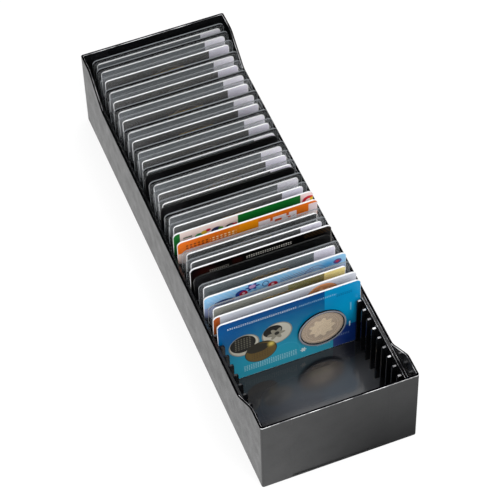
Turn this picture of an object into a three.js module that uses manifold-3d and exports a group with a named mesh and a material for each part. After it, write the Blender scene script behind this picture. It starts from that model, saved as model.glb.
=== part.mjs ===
// Storage box for bullion cards: one moulded tub with a comb of slots along both sides, filled
// with cased bar cards, coin cards and plain dividers that lift straight out.
// Millimetres, +Z up, +Y to the back. The origin is the centre of the tub's underside.
import * as THREE from "three";
import { mergeVertices } from "three/addons/utils/BufferGeometryUtils.js";
import Module from "manifold-3d";

const wasm = await Module();
wasm.setup();

// Card blank: the wallet-card format that the slots are made for
const cardWidth = 85.6;
const cardHeight = 54;
const cardCorner = 3.2;

// Room round a card in the tub
const sideClearance = 0.4;
const restGap = 0.3;
const slotPlayGap = 0.2;
const rimAboveCards = 1.1;

// Comb of slots
const slotCount = 42;
const slotPitch = 6.92;
const ribThickness = 1.2;
const ribDepth = 3.5;
const ribDraft = 0.3;
const ribTipRadius = 1.1;
const ribBelowLedge = 0.9;
const ribShoulderWidth = 1;
const ribShoulderDrop = 0.2;

// Walls of the tub
const floorThickness = 1.7;
const sideWall = 2.85;
const sideLip = 1.2;
const endWall = 1.7;
const endLip = 1.3;
const openRimDrop = 15.4;
const ledgeBelowRim = 1.1;
const raisedRimLength = 14.8;
const rampRun = 20;
const rampRounding = 2.4;
const outerCorner = 1.2;
const innerCorner = 0.8;

// Shallow field moulded into both end walls
const fieldWidth = 58;
const fieldDepth = 0.5;
const fieldSlope = 2;
const fieldMargin = 1.1;

// Clear case with a printed card and a flat bar inside, a little taller and narrower than a card
const caseAboveCard = 3;
const caseSideInset = 0.6;
const caseWall = 0.35;
const caseMargin = 2.5;
const caseTopMargin = 2.9;
const casedCardThickness = 0.7;
const casedCardCorner = 2.4;
const caseFit = 0.2;
const ejectNotchWidth = 12;
const barWidth = 24;
const barHeight = 39;
const barProud = 0.2;
const barCorner = 2.5;

// Coin cards, coins and the round capsule of the front card
const coinCardThickness = 1;
const largeCoin = { radius: 12.875, thickness: 2.2, rimWidth: 1.6, relief: 0.25 };
const smallCoin = { radius: 9.375, thickness: 1.7, rimWidth: 1, relief: 0.2 };
const coinGap = 0.3;
const coinFromSide = 23.7;
const coinFromFoot = 22.6;
const smallCoinFromSide = 20.3;
const smallCoinFromTop = 1.4;
const capsuleFlange = 14.6;
const capsuleWall = 0.7;
const capsuleLens = 0.5;
const capsuleProud = 1.4;
const capsuleLip = 0.5;
const capsuleLipThickness = 0.4;

// Plain dividers, a little smaller than a card
const dividerSideInset = 1.3;
const dividerTopInset = 0.3;
const dividerThickness = 0.9;
const dividerCorner = 4.5;

// How finely arcs are faceted, and how far a cutter runs past what it cuts
const cornerSteps = 2;
const roundSteps = 28;
const cutOverrun = 1;

// Sizes that follow from the values above
const innerWidth = cardWidth + 2 * sideClearance;
const innerLength = slotCount * slotPitch - ribThickness;
const boxWidth = innerWidth + 2 * sideWall;
const boxLength = innerLength + 2 * endWall;
const cardFoot = floorThickness + restGap;
const boxHeight = cardFoot + cardHeight + rimAboveCards;
const lowRim = boxHeight - openRimDrop;
const ledge = lowRim - ledgeBelowRim;
const ribTop = ledge - ribBelowLedge;
const slotWidth = slotPitch - ribThickness;
const pocketDepth = casedCardThickness + barProud + 2 * caseFit;
const caseThickness = pocketDepth + 2 * caseWall;
const caseHeight = cardHeight + caseAboveCard;
const caseWidth = cardWidth - 2 * caseSideInset;
const dividerWidth = cardWidth - 2 * dividerSideInset;
const dividerHeight = cardHeight - dividerTopInset;

const finishes = {
  tub: new THREE.MeshStandardMaterial({ color: 0x1b1b1d, roughness: 0.45, metalness: 0 }),
  divider: new THREE.MeshStandardMaterial({ color: 0x131315, roughness: 0.4, metalness: 0 }),
  clear: new THREE.MeshStandardMaterial({
    color: 0xe6ebee,
    roughness: 0.08,
    metalness: 0,
    transparent: true,
    opacity: 0.3,
  }),
  barCard: new THREE.MeshStandardMaterial({ color: 0x5c6367, roughness: 0.5, metalness: 0.1 }),
  silver: new THREE.MeshStandardMaterial({ color: 0xc9c3b6, roughness: 0.3, metalness: 1 }),
  copper: new THREE.MeshStandardMaterial({ color: 0xb06a3c, roughness: 0.35, metalness: 1 }),
};

// Finish of a printed coin card in its main colour
function printedBoard(color) {
  return new THREE.MeshStandardMaterial({ color, roughness: 0.35, metalness: 0 });
}

// Closed solid from a geometry, and geometry from a solid
function solidOf(geometry) {
  const bare = geometry.clone();
  bare.deleteAttribute("normal");
  bare.deleteAttribute("uv");
  const welded = mergeVertices(bare);
  return new wasm.Manifold(
    new wasm.Mesh({
      numProp: 3,
      vertProperties: new Float32Array(welded.attributes.position.array),
      triVerts: new Uint32Array(welded.index.array),
    }),
  );
}

function geometryOf(solid) {
  const mesh = solid.getMesh();
  const geometry = new THREE.BufferGeometry();
  geometry.setAttribute("position", new THREE.BufferAttribute(mesh.vertProperties, 3));
  geometry.setIndex(new THREE.BufferAttribute(mesh.triVerts, 1));
  const flat = geometry.toNonIndexed();
  flat.computeVertexNormals();
  return flat;
}

// Rectangle with round corners, centred on x, its lower edge at y = foot
function roundedRect(width, height, radius, foot) {
  const side = width / 2;
  const top = foot + height;
  const shape = new THREE.Shape();
  shape.moveTo(-side + radius, foot);
  shape.absarc(side - radius, foot + radius, radius, -Math.PI / 2, 0, false);
  shape.absarc(side - radius, top - radius, radius, 0, Math.PI / 2, false);
  shape.absarc(-side + radius, top - radius, radius, Math.PI / 2, Math.PI, false);
  shape.absarc(-side + radius, foot + radius, radius, Math.PI, 1.5 * Math.PI, false);
  shape.closePath();
  return shape;
}

function extrude(shape, depth) {
  return new THREE.ExtrudeGeometry(shape, {
    depth,
    bevelEnabled: false,
    curveSegments: cornerSteps,
  });
}

// Plate standing upright on its foot: the shape's y becomes Z, its thickness is centred on y = 0
function uprightPlate(shape, thickness) {
  const plate = extrude(shape, thickness);
  plate.rotateX(Math.PI / 2);
  plate.translate(0, thickness / 2, 0);
  return plate;
}

// Draws to a corner and round it, leaving the corner out by the rounding on each side
function lineRoundCorner(shape, before, corner, after, rounding) {
  const start = corner.clone().add(before.clone().sub(corner).setLength(rounding));
  const end = corner.clone().add(after.clone().sub(corner).setLength(rounding));
  shape.lineTo(start.x, start.y);
  shape.quadraticCurveTo(corner.x, corner.y, end.x, end.y);
}

// The moulded tub

// Block with round vertical edges, from one height to another
function uprightBlock(width, length, radius, bottom, top) {
  const block = extrude(roundedRect(width, length, radius, -length / 2), top - bottom);
  block.translate(0, 0, bottom);
  return solidOf(block);
}

// What is cut from the side walls between the raised ends: seen from the side, two ramps that
// run down to the low rim
function sideRimCut() {
  const end = boxLength / 2;
  const crest = end - raisedRimLength;
  const valley = crest - rampRun;
  const above = boxHeight + cutOverrun;
  const rim = [
    new THREE.Vector2(-end, boxHeight),
    new THREE.Vector2(-crest, boxHeight),
    new THREE.Vector2(-valley, lowRim),
    new THREE.Vector2(valley, lowRim),
    new THREE.Vector2(crest, boxHeight),
    new THREE.Vector2(end, boxHeight),
  ];
  const profile = new THREE.Shape();
  profile.moveTo(crest + rampRounding, above);
  profile.lineTo(-crest - rampRounding, above);
  for (let i = 1; i < rim.length - 1; i += 1) {
    lineRoundCorner(profile, rim[i - 1], rim[i], rim[i + 1], rampRounding);
  }
  profile.closePath();
  const cut = extrude(profile, boxWidth + 2 * cutOverrun);
  cut.rotateX(Math.PI / 2);
  cut.rotateZ(Math.PI / 2);
  cut.translate(-boxWidth / 2 - cutOverrun, 0, 0);
  return solidOf(cut);
}

// The shallow field of the front wall, with sloping sides; the back wall has the same, turned
function fieldCut() {
  const face = -boxLength / 2;
  const side = fieldWidth / 2;
  const plan = new THREE.Shape();
  plan.moveTo(-side, face - cutOverrun);
  plan.lineTo(side, face - cutOverrun);
  plan.lineTo(side, face);
  plan.lineTo(side - fieldSlope, face + fieldDepth);
  plan.lineTo(-side + fieldSlope, face + fieldDepth);
  plan.lineTo(-side, face);
  plan.closePath();
  const cut = extrude(plan, boxHeight - 2 * fieldMargin);
  cut.translate(0, 0, fieldMargin);
  return cut;
}

// One rib of the comb on the right wall: a drafted tooth with a round top corner and a small
// shoulder against the wall
function rib() {
  const wall = innerWidth / 2;
  const inWall = wall + sideWall - sideLip;
  const tip = wall - ribDepth;
  const inFloor = floorThickness / 2;
  const profile = new THREE.Shape();
  profile.moveTo(inWall, inFloor);
  profile.lineTo(inWall, ledge - ribShoulderDrop);
  profile.lineTo(wall, ledge - ribShoulderDrop);
  profile.lineTo(wall - ribShoulderWidth, ribTop);
  profile.lineTo(tip + ribTipRadius, ribTop);
  profile.absarc(tip + ribTipRadius, ribTop - ribTipRadius, ribTipRadius, Math.PI / 2, Math.PI);
  profile.lineTo(tip - ribDraft, inFloor);
  profile.closePath();
  return uprightPlate(profile, ribThickness);
}

function tub() {
  let solid = uprightBlock(boxWidth, boxLength, outerCorner, 0, boxHeight);
  const above = boxHeight + cutOverrun;
  const hollow = uprightBlock(innerWidth, innerLength, innerCorner, floorThickness, above);
  const lipHollow = uprightBlock(
    boxWidth - 2 * sideLip,
    boxLength - 2 * endLip,
    innerCorner,
    ledge,
    above,
  );
  solid = solid.subtract(hollow).subtract(lipHollow).subtract(sideRimCut());
  const field = fieldCut();
  solid = solid.subtract(solidOf(field));
  solid = solid.subtract(solidOf(field.clone().rotateZ(Math.PI)));
  const ribCount = slotCount - 1;
  for (let i = 0; i < ribCount; i += 1) {
    const y = (i - (ribCount - 1) / 2) * slotPitch;
    const right = rib();
    const left = right.clone().rotateZ(Math.PI);
    solid = solid.add(solidOf(right.translate(0, y, 0)));
    solid = solid.add(solidOf(left.translate(0, y, 0)));
  }
  return geometryOf(solid);
}

// The cards

// Clear case: two walls round a pocket that is welded shut but for a notch in its foot
function clearCase() {
  const body = solidOf(uprightPlate(roundedRect(caseWidth, caseHeight, cardCorner, 0), caseThickness));
  const pocket = uprightPlate(
    roundedRect(
      caseWidth - 2 * caseMargin + 2 * caseFit,
      caseHeight - 2 * caseTopMargin + 2 * caseFit,
      casedCardCorner + caseFit,
      caseTopMargin - caseFit,
    ),
    pocketDepth,
  );
  const notch = new THREE.BoxGeometry(ejectNotchWidth, pocketDepth, caseTopMargin + cutOverrun);
  notch.translate(0, 0, (caseTopMargin - cutOverrun) / 2);
  return geometryOf(body.subtract(solidOf(pocket)).subtract(solidOf(notch)));
}

// Printed card of a clear case, with the flat bar standing proud of its face
function casedCard() {
  const height = caseHeight - 2 * caseTopMargin;
  const width = caseWidth - 2 * caseMargin;
  const card = uprightPlate(
    roundedRect(width, height, casedCardCorner, caseTopMargin),
    casedCardThickness,
  );
  const bar = uprightPlate(
    roundedRect(barWidth, barHeight, barCorner, (caseHeight - barHeight) / 2),
    casedCardThickness / 2 + barProud,
  );
  bar.translate(0, -(casedCardThickness / 2 + barProud) / 2, 0);
  return geometryOf(solidOf(card).add(solidOf(bar)));
}

// Printed board with a round window for its coin
function coinCard(windowX, windowZ, windowRadius) {
  const outline = roundedRect(cardWidth, cardHeight, cardCorner, 0);
  const window = [];
  for (let i = 0; i < roundSteps; i += 1) {
    const turn = (-2 * Math.PI * i) / roundSteps;
    const spoke = new THREE.Vector2(windowRadius, 0).rotateAround(new THREE.Vector2(), turn);
    window.push(spoke.add(new THREE.Vector2(windowX, windowZ)));
  }
  outline.holes.push(new THREE.Path(window));
  return uprightPlate(outline, coinCardThickness);
}

// Struck coin: a raised rim round a slightly sunk field on both faces
function coinGeometry(coin) {
  const half = coin.thickness / 2;
  const field = coin.radius - coin.rimWidth;
  const profile = [
    new THREE.Vector2(0, coin.relief - half),
    new THREE.Vector2(field, coin.relief - half),
    new THREE.Vector2(field, -half),
    new THREE.Vector2(coin.radius, -half),
    new THREE.Vector2(coin.radius, half),
    new THREE.Vector2(field, half),
    new THREE.Vector2(field, half - coin.relief),
    new THREE.Vector2(0, half - coin.relief),
  ];
  return new THREE.LatheGeometry(profile, roundSteps);
}

// Round capsule of the front card: a flanged clear cup, open behind the coin, whose hub passes
// through the card's window and holds the coin by a small lip
function capsuleGeometry() {
  const bore = largeCoin.radius + coinGap;
  const hub = bore + capsuleWall;
  const front = -coinCardThickness / 2 - capsuleProud;
  const lens = front + capsuleLens;
  const flangeBack = -coinCardThickness / 2 - slotPlayGap;
  const lip = lens + 2 * slotPlayGap + largeCoin.thickness;
  const back = lip + capsuleLipThickness;
  const profile = [
    new THREE.Vector2(0, front),
    new THREE.Vector2(capsuleFlange, front),
    new THREE.Vector2(capsuleFlange, flangeBack),
    new THREE.Vector2(hub, flangeBack),
    new THREE.Vector2(hub, back),
    new THREE.Vector2(bore - capsuleLip, back),
    new THREE.Vector2(bore - capsuleLip, lip),
    new THREE.Vector2(bore, lip),
    new THREE.Vector2(bore, lens),
    new THREE.Vector2(0, lens),
  ];
  return new THREE.LatheGeometry(profile, roundSteps);
}

// What stands in the slots, from the back to the front. Slots count from the front wall. The foot
// share and the cross share say where the piece stands in its slot, at its foot and where it
// passes the top of the comb, from -1 against the front rib to 1 against the back rib. The side
// share runs from -1 at the left wall to 1 at the right wall, and is 0 where none is given.
const contents = [
  { kind: "bar", slot: 40, footShare: -0.35, crossShare: 0.35, sideShare: 0.4, turned: true },
  { kind: "bar", slot: 39, footShare: -0.28, crossShare: 0.28, sideShare: 0.55, turned: true },
  { kind: "bar", slot: 38, footShare: 0.04, crossShare: -0.04, sideShare: 0.3 },
  { kind: "bar", slot: 37, footShare: 0.86, crossShare: -0.86, sideShare: -0.45, turned: true },
  { kind: "bar", slot: 35, footShare: -1, crossShare: 1, sideShare: -1 },
  { kind: "bar", slot: 34, footShare: -0.39, crossShare: 0.39, sideShare: -1, turned: true },
  { kind: "bar", slot: 33, footShare: -0.14, crossShare: 0.14, sideShare: -1 },
  { kind: "bar", slot: 32, footShare: 0.71, crossShare: -0.71, sideShare: -1, turned: true },
  { kind: "bar", slot: 31, footShare: 0.92, crossShare: -0.92, sideShare: -1 },
  { kind: "bar", slot: 29, footShare: -0.61, crossShare: 0.61, sideShare: -1, turned: true },
  { kind: "bar", slot: 28, footShare: -0.43, crossShare: 0.43, sideShare: -1 },
  { kind: "bar", slot: 27, footShare: 0.15, crossShare: 0.04, sideShare: -1, turned: true },
  { kind: "divider", slot: 27, footShare: -0.86, crossShare: -0.87, sideShare: -0.85 },
  { kind: "bar", slot: 25, footShare: -0.93, crossShare: 0.93, sideShare: -1, turned: true },
  { kind: "bar", slot: 24, footShare: -0.77, crossShare: 0.77, sideShare: -1 },
  { kind: "bar", slot: 23, footShare: 0.93, crossShare: 0.93, sideShare: -1 },
  { kind: "divider", slot: 23, footShare: -0.78, crossShare: -0.34, sideShare: -0.85 },
  { kind: "bar", slot: 22, footShare: 0.71, crossShare: -0.71, sideShare: -1, turned: true },
  { kind: "bar", slot: 21, footShare: 0.85, crossShare: -0.85, sideShare: -1 },
  { kind: "coin", name: "green", slot: 20, footShare: 0.23, crossShare: -0.23, color: 0x3f7d3a },
  { kind: "coin", name: "orange", slot: 19, footShare: 0.15, crossShare: -0.15, color: 0xd9702a },
  { kind: "bar", slot: 18, footShare: 1, crossShare: -1, sideShare: -1 },
  { kind: "bar", slot: 17, footShare: 0.7, crossShare: -1, sideShare: -1 },
  { kind: "coin", name: "black", slot: 16, footShare: 0.07, crossShare: -0.07, color: 0x17171a },
  { kind: "divider", slot: 15, footShare: -0.26, crossShare: 0.26, sideShare: -0.85 },
  { kind: "bar", slot: 14, footShare: 0.39, crossShare: -0.39, sideShare: -0.75 },
  { kind: "coin", name: "sky", slot: 13, footShare: 0.25, crossShare: -0.25, color: 0x7db9de },
  { kind: "bar", slot: 12, footShare: 0.9, crossShare: -1, sideShare: -1 },
  { kind: "coin", name: "pale", slot: 11, footShare: 0.46, crossShare: -0.46, color: 0xcfccd6 },
  { kind: "coin", name: "blue", slot: 10, footShare: -0.95, crossShare: -0.55, color: 0x0f78ad },
];

// Where each coin card's window sits, what fills it, and the hole that leaves round it
function windowOf(name) {
  if (name === "pale") {
    return {
      coin: smallCoin,
      x: cardWidth / 2 - smallCoinFromSide,
      z: cardHeight - smallCoinFromTop - smallCoin.radius - coinGap,
      radius: smallCoin.radius + coinGap,
      finish: finishes.copper,
    };
  }
  const inCapsule = name === "blue";
  return {
    coin: largeCoin,
    x: cardWidth / 2 - coinFromSide,
    z: coinFromFoot,
    radius: largeCoin.radius + coinGap + (inCapsule ? capsuleWall + coinGap : 0),
    finish: finishes.silver,
    inCapsule,
  };
}

// Group whose origin is the middle of a piece's foot, standing in its slot
function standing(item, width, thickness) {
  const play = (slotWidth - thickness) / 2 - slotPlayGap;
  const sidePlay = (innerWidth - width) / 2 - slotPlayGap;
  const sideX = (item.sideShare ?? 0) * sidePlay;
  const slotY = (item.slot - (slotCount - 1) / 2) * slotPitch;
  const group = new THREE.Group();
  group.position.set(sideX, slotY + item.footShare * play, cardFoot);
  group.rotation.x = Math.atan2((item.footShare - item.crossShare) * play, ribTop - cardFoot);
  return group;
}

function namedMesh(name, geometry, material) {
  const mesh = new THREE.Mesh(geometry, material);
  mesh.name = name;
  return mesh;
}

// Clear case and its printed card, which faces the front or is turned to the back
function casedBar(item, label, caseShape, cardShape) {
  const group = standing(item, caseWidth, caseThickness);
  group.add(namedMesh(`bar_case_${label}`, caseShape, finishes.clear));
  const card = namedMesh(`bar_card_${label}`, cardShape, finishes.barCard);
  card.position.y = item.turned ? -barProud / 2 : barProud / 2;
  card.rotation.z = item.turned ? Math.PI : 0;
  group.add(card);
  return group;
}

// Printed coin card with its coin, and on the front card the capsule round the coin
function coinPiece(item) {
  const window = windowOf(item.name);
  const group = standing(item, cardWidth, coinCardThickness);
  const board = coinCard(window.x, window.z, window.radius);
  group.add(namedMesh(`coin_card_${item.name}`, board, printedBoard(item.color)));
  const coin = namedMesh(`coin_${item.name}`, coinGeometry(window.coin), window.finish);
  coin.position.set(window.x, 0, window.z);
  if (window.inCapsule) {
    const capsule = namedMesh("coin_capsule", capsuleGeometry(), finishes.clear);
    capsule.position.copy(coin.position);
    group.add(capsule);
    const lensInside = -coinCardThickness / 2 - capsuleProud + capsuleLens;
    coin.position.y = lensInside + slotPlayGap + window.coin.thickness / 2;
  }
  group.add(coin);
  return group;
}

function divider(item, label) {
  const group = standing(item, dividerWidth, dividerThickness);
  const outline = roundedRect(dividerWidth, dividerHeight, dividerCorner, 0);
  group.add(namedMesh(`divider_${label}`, uprightPlate(outline, dividerThickness), finishes.divider));
  return group;
}

const storageBox = new THREE.Group();
storageBox.add(namedMesh("storage_box", tub(), finishes.tub));
const caseShape = clearCase();
const cardShape = casedCard();
const counts = { bar: 0, divider: 0 };
for (const item of contents) {
  if (item.kind === "coin") {
    storageBox.add(coinPiece(item));
    continue;
  }
  counts[item.kind] += 1;
  const count = counts[item.kind];
  storageBox.add(
    item.kind === "bar"
      ? casedBar(item, String(count).padStart(2, "0"), caseShape, cardShape)
      : divider(item, String(count)),
  );
}

export default storageBox;
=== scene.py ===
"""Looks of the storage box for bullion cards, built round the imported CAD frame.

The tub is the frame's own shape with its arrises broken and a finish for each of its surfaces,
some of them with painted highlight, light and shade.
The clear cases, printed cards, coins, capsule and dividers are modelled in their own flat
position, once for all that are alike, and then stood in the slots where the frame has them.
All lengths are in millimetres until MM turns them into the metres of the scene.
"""

import sys
import logging
import math
from dataclasses import dataclass, field
from enum import Enum
from typing import Callable, ClassVar

import bmesh
import bpy
from mathutils import Matrix, Vector


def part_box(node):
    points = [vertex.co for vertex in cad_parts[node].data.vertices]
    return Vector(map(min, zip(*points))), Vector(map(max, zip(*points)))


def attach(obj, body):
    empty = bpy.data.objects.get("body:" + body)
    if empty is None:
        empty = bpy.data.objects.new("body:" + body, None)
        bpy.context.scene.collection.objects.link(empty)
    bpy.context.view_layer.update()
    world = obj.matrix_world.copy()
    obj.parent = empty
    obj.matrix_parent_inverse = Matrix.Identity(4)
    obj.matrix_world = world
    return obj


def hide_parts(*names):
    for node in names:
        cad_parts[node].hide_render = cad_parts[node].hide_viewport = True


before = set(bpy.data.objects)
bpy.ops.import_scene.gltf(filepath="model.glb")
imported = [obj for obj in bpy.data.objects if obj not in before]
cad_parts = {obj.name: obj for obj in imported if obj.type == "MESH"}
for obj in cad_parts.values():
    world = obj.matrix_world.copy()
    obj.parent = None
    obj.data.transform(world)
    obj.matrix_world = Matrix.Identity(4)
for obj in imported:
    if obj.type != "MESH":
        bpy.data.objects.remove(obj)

MM = 0.001
NEAR = 0.05  # places closer together than this count as one, in millimetres
SMOOTH_ANGLE = math.radians(35)  # faces that meet at less are shaded as one
FACING = 0.9  # a face looks along an axis when its normal has at least this share of it
STRAIGHT = 0.01  # and not at all aside when it has no more than this share of the other
FRONT = Vector((0, -1, 0))
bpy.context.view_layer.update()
log = logging.getLogger("storage_box")

Tree = bpy.types.NodeTree
Socket = bpy.types.NodeSocket
Links = dict[int | str, Socket]
Colour = tuple[float, float, float, float]


# Helpers for nodes, modelling and the frame


def linear(code: str) -> Colour:
    """Turn an sRGB hex value into linear light.

    Args:
        code: six hex digits after a hash.

    Returns:
        Red, green, blue and a full alpha.
    """
    parts = [share / 255 for share in bytes.fromhex(code[1:])]
    r, g, b = (c / 12.92 if c <= 0.04045 else ((c + 0.055) / 1.055) ** 2.4 for c in parts)
    return (r, g, b, 1.0)


def add_node(
    tree: Tree,
    kind: str,
    values: dict[int | str, object] | None = None,
    links: Links | None = None,
    **settings: object,
) -> bpy.types.Node:
    """Add a node with its settings, plain values and incoming links.

    Args:
        tree: the node tree that takes it.
        kind: Blender's name for the node.
        values: plain values by input.
        links: sockets that feed its inputs.
        **settings: properties of the node.

    Returns:
        The new node.
    """
    node = tree.nodes.new(kind)
    for key, value in settings.items():
        setattr(node, key, value)
    for key, value in (values or {}).items():
        node.inputs[key].default_value = value
    for key, socket in (links or {}).items():
        tree.links.new(socket, node.inputs[key])
    return node


def new_material(
    name: str, values: dict[str, object] | None = None
) -> tuple[bpy.types.Material, Tree, bpy.types.Node]:
    """Make a material with one Principled shader on its output.

    Args:
        name: what the real material is.
        values: plain values of the shader by input.

    Returns:
        The material, its node tree and the shader node.
    """
    material = bpy.data.materials.new(name)
    material.use_nodes = True
    tree = material.node_tree
    tree.nodes.clear()
    shader = add_node(tree, "ShaderNodeBsdfPrincipled", values)
    add_node(tree, "ShaderNodeOutputMaterial", links={"Surface": shader.outputs[0]})
    return material, tree, shader


def fine_relief(
    tree: Tree,
    shader: bpy.types.Node,
    width: float,
    depth: float,
    strength: float,
    detail: float,
) -> None:
    """Give a surface the fine uneven relief that its mould or press left, in Object coordinates.

    Args:
        tree: the material's node tree.
        shader: the shader that shows the relief.
        width: width of one unevenness in millimetres.
        depth: its depth in millimetres.
        strength: how much of it shows, from 0 to 1.
        detail: how many finer layers lie in it.
    """
    place = add_node(tree, "ShaderNodeTexCoord")
    uneven = add_node(
        tree,
        "ShaderNodeTexNoise",
        {"Scale": 1 / (width * MM), "Detail": detail},
        {"Vector": place.outputs["Object"]},
    )
    bump = add_node(
        tree,
        "ShaderNodeBump",
        {"Strength": strength, "Distance": depth * MM},
        {"Height": uneven.outputs["Fac"]},
    )
    tree.links.new(bump.outputs[0], shader.inputs["Normal"])


def select_only(obj: bpy.types.Object) -> None:
    """Select one object alone and make it the active one.

    Args:
        obj: the object.
    """
    bpy.ops.object.select_all(action="DESELECT")
    bpy.context.view_layer.objects.active = obj
    obj.select_set(True)


def select_parts(
    obj: bpy.types.Object, faces: Callable | None = None, edges: Callable | None = None
) -> None:
    """Select faces or edges of the object that is open in edit mode, and nothing else.

    Args:
        obj: the object in edit mode.
        faces: test of a face, or None.
        edges: test of an edge, or None.
    """
    shape = bmesh.from_edit_mesh(obj.data)
    for part in [*shape.faces, *shape.edges, *shape.verts]:
        part.select = False
    chosen = [f for f in shape.faces if faces(f)] if faces else [e for e in shape.edges if edges(e)]
    for part in chosen:
        part.select_set(True)
    bmesh.update_edit_mesh(obj.data)


def edit(obj: bpy.types.Object, *, faces: bool = False) -> None:
    """Open an object in edit mode with nothing in it selected.

    Args:
        obj: the object.
        faces: whether faces are picked next, and not edges.
    """
    if bpy.context.object and bpy.context.object.mode == "EDIT":
        bpy.ops.object.mode_set(mode="OBJECT")
    select_only(obj)
    bpy.ops.object.mode_set(mode="EDIT")
    bpy.ops.mesh.select_mode(type="FACE" if faces else "EDGE")


def close_edit() -> None:
    """Leave edit mode."""
    bpy.ops.object.mode_set(mode="OBJECT")


def apply_place(obj: bpy.types.Object) -> None:
    """Put an object's place, turn and scale into its mesh."""
    select_only(obj)
    bpy.ops.object.transform_apply(location=True, rotation=True, scale=True)


def add_modifier(obj: bpy.types.Object, kind: str, **settings: object) -> None:
    """Add a modifier to an object and apply it.

    Args:
        obj: the object.
        kind: Blender's name for the modifier.
        **settings: properties of the modifier.
    """
    modifier = obj.modifiers.new(kind.title(), kind)
    for key, value in settings.items():
        setattr(modifier, key, value)
    select_only(obj)
    bpy.ops.object.modifier_apply(modifier=modifier.name)


def soften(obj: bpy.types.Object, width: float, segments: int = 2, angle: float = 40) -> None:
    """Break an object's arrises with a small round and shade it smooth between them.

    Args:
        obj: the object.
        width: width of the round in millimetres.
        segments: faces across the round.
        angle: only arrises sharper than this, in degrees.
    """
    add_modifier(
        obj,
        "BEVEL",
        width=width * MM,
        segments=segments,
        limit_method="ANGLE",
        angle_limit=math.radians(angle),
    )
    bpy.ops.object.shade_smooth_by_angle(angle=SMOOTH_ANGLE)
    add_modifier(obj, "WEIGHTED_NORMAL", keep_sharp=True, weight=100)


def plate(
    name: str,
    width: float,
    height: float,
    thickness: float,
    corner: float,
    foot: float = 0,
    steps: int = 7,
) -> bpy.types.Object:
    """Model a thin upright plate with round corners, standing on its foot and centred on y = 0.

    Args:
        name: name of the piece.
        width: width along x in millimetres.
        height: height in millimetres.
        thickness: thickness along y in millimetres.
        corner: radius of the four corners in millimetres.
        foot: height of its lower edge in millimetres.
        steps: faces round each corner.

    Returns:
        The plate.
    """
    bpy.ops.object.select_all(action="DESELECT")
    bpy.ops.mesh.primitive_cube_add(size=1, location=(0, 0, (foot + height / 2) * MM))
    obj = bpy.context.object
    obj.name = obj.data.name = name
    obj.scale = (width * MM, thickness * MM, height * MM)
    apply_place(obj)
    edit(obj)
    select_parts(obj, edges=lambda e: abs(e.verts[0].co.y - e.verts[1].co.y) > thickness * MM / 2)
    bpy.ops.mesh.bevel(offset=corner * MM, segments=steps, affect="EDGES")
    close_edit()
    return obj


def disc(name: str, radius: float, thickness: float, steps: int = 96) -> bpy.types.Object:
    """Model a round slab whose faces look to the front and the back.

    Args:
        name: name of the piece.
        radius: radius in millimetres.
        thickness: thickness along y in millimetres.
        steps: sides of the round.

    Returns:
        The slab, centred on the origin.
    """
    bpy.ops.object.select_all(action="DESELECT")
    bpy.ops.mesh.primitive_cylinder_add(
        vertices=steps, radius=radius * MM, depth=thickness * MM, rotation=(math.pi / 2, 0, 0)
    )
    obj = bpy.context.object
    obj.name = obj.data.name = name
    apply_place(obj)
    return obj


def cut(obj: bpy.types.Object, *cutters: bpy.types.Object) -> None:
    """Cut solids out of an object and throw the cutters away.

    Args:
        obj: the object.
        *cutters: the solids, each where it cuts.
    """
    for cutter in cutters:
        add_modifier(obj, "BOOLEAN", operation="DIFFERENCE", solver="EXACT", object=cutter)
        bpy.data.objects.remove(cutter)


def twin(obj: bpy.types.Object, name: str, place: Matrix) -> bpy.types.Object:
    """Copy a modelled piece with a mesh of its own and put it in its place.

    Args:
        obj: the piece in its flat position.
        name: name of the copy.
        place: where the copy stands.

    Returns:
        The copy, its place held in its mesh.
    """
    select_only(obj)
    bpy.ops.object.duplicate(linked=False)
    copy = bpy.context.object
    copy.name = copy.data.name = name
    copy.matrix_world = place
    apply_place(copy)
    return copy


def lay_print(obj: bpy.types.Object) -> None:
    """Give a flat piece a UV map in millimetres, so that a print or relief stays on it.

    Args:
        obj: the piece in its flat position, whose origin gets 0, 0.
    """
    mesh = obj.data
    layer = mesh.uv_layers.new(name="print") if not mesh.uv_layers else mesh.uv_layers[0]
    layer.name = "print"
    for loop in mesh.loops:
        point = mesh.vertices[loop.vertex_index].co
        layer.data[loop.index].uv = (point.x / MM, point.z / MM)


def dress(
    obj: bpy.types.Object, *materials: bpy.types.Material, pick: Callable | None = None
) -> None:
    """Put materials on a piece, by a rule on each face's middle and normal.

    Args:
        obj: the piece.
        *materials: what it is made of.
        pick: gives the number of a face's material from its middle and normal.
    """
    obj.data.materials.clear()
    for material in materials:
        obj.data.materials.append(material)
    if pick:
        for polygon in obj.data.polygons:
            polygon.material_index = pick(polygon.center / MM, polygon.normal)


def slot_of(choice: Enum) -> int:
    """Give an option's place among its kind, which is the number of its material."""
    return list(type(choice)).index(choice)


def dress_board(
    board: bpy.types.Object, place: Matrix, materials: tuple[bpy.types.Material, ...]
) -> None:
    """Put a print on the front and the back of a board, and its core on its edge.

    Args:
        board: the board in its place.
        place: the matrix that took it there from its flat position.
        materials: what its front, its back and its edge are made of.
    """
    front = place.to_3x3() @ FRONT

    def side(_: Vector, normal: Vector) -> int:
        """Give 0 for the front, 1 for the back and 2 for the edge."""
        along = normal.dot(front)
        return 0 if along > FACING else 1 if along < -FACING else 2

    dress(board, *materials, pick=side)


def set_down(obj: bpy.types.Object, body: str, slot: str, *nodes: str) -> bpy.types.Object:
    """Hand a finished piece to the frame.

    Args:
        obj: the piece.
        body: the moving body that it rides on.
        slot: the record's material slot, not used.
        *nodes: the CAD nodes that it stands for.

    Returns:
        The same piece.
    """
    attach(obj, body)
    if nodes:
        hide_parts(*nodes)
    log.info("%s rides on %s, %d faces", obj.name, body, len(obj.data.polygons))
    return obj


def drop(*objs: bpy.types.Object) -> None:
    """Throw away the flat originals that copies were taken from."""
    for obj in objs:
        bpy.data.objects.remove(obj)


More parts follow.
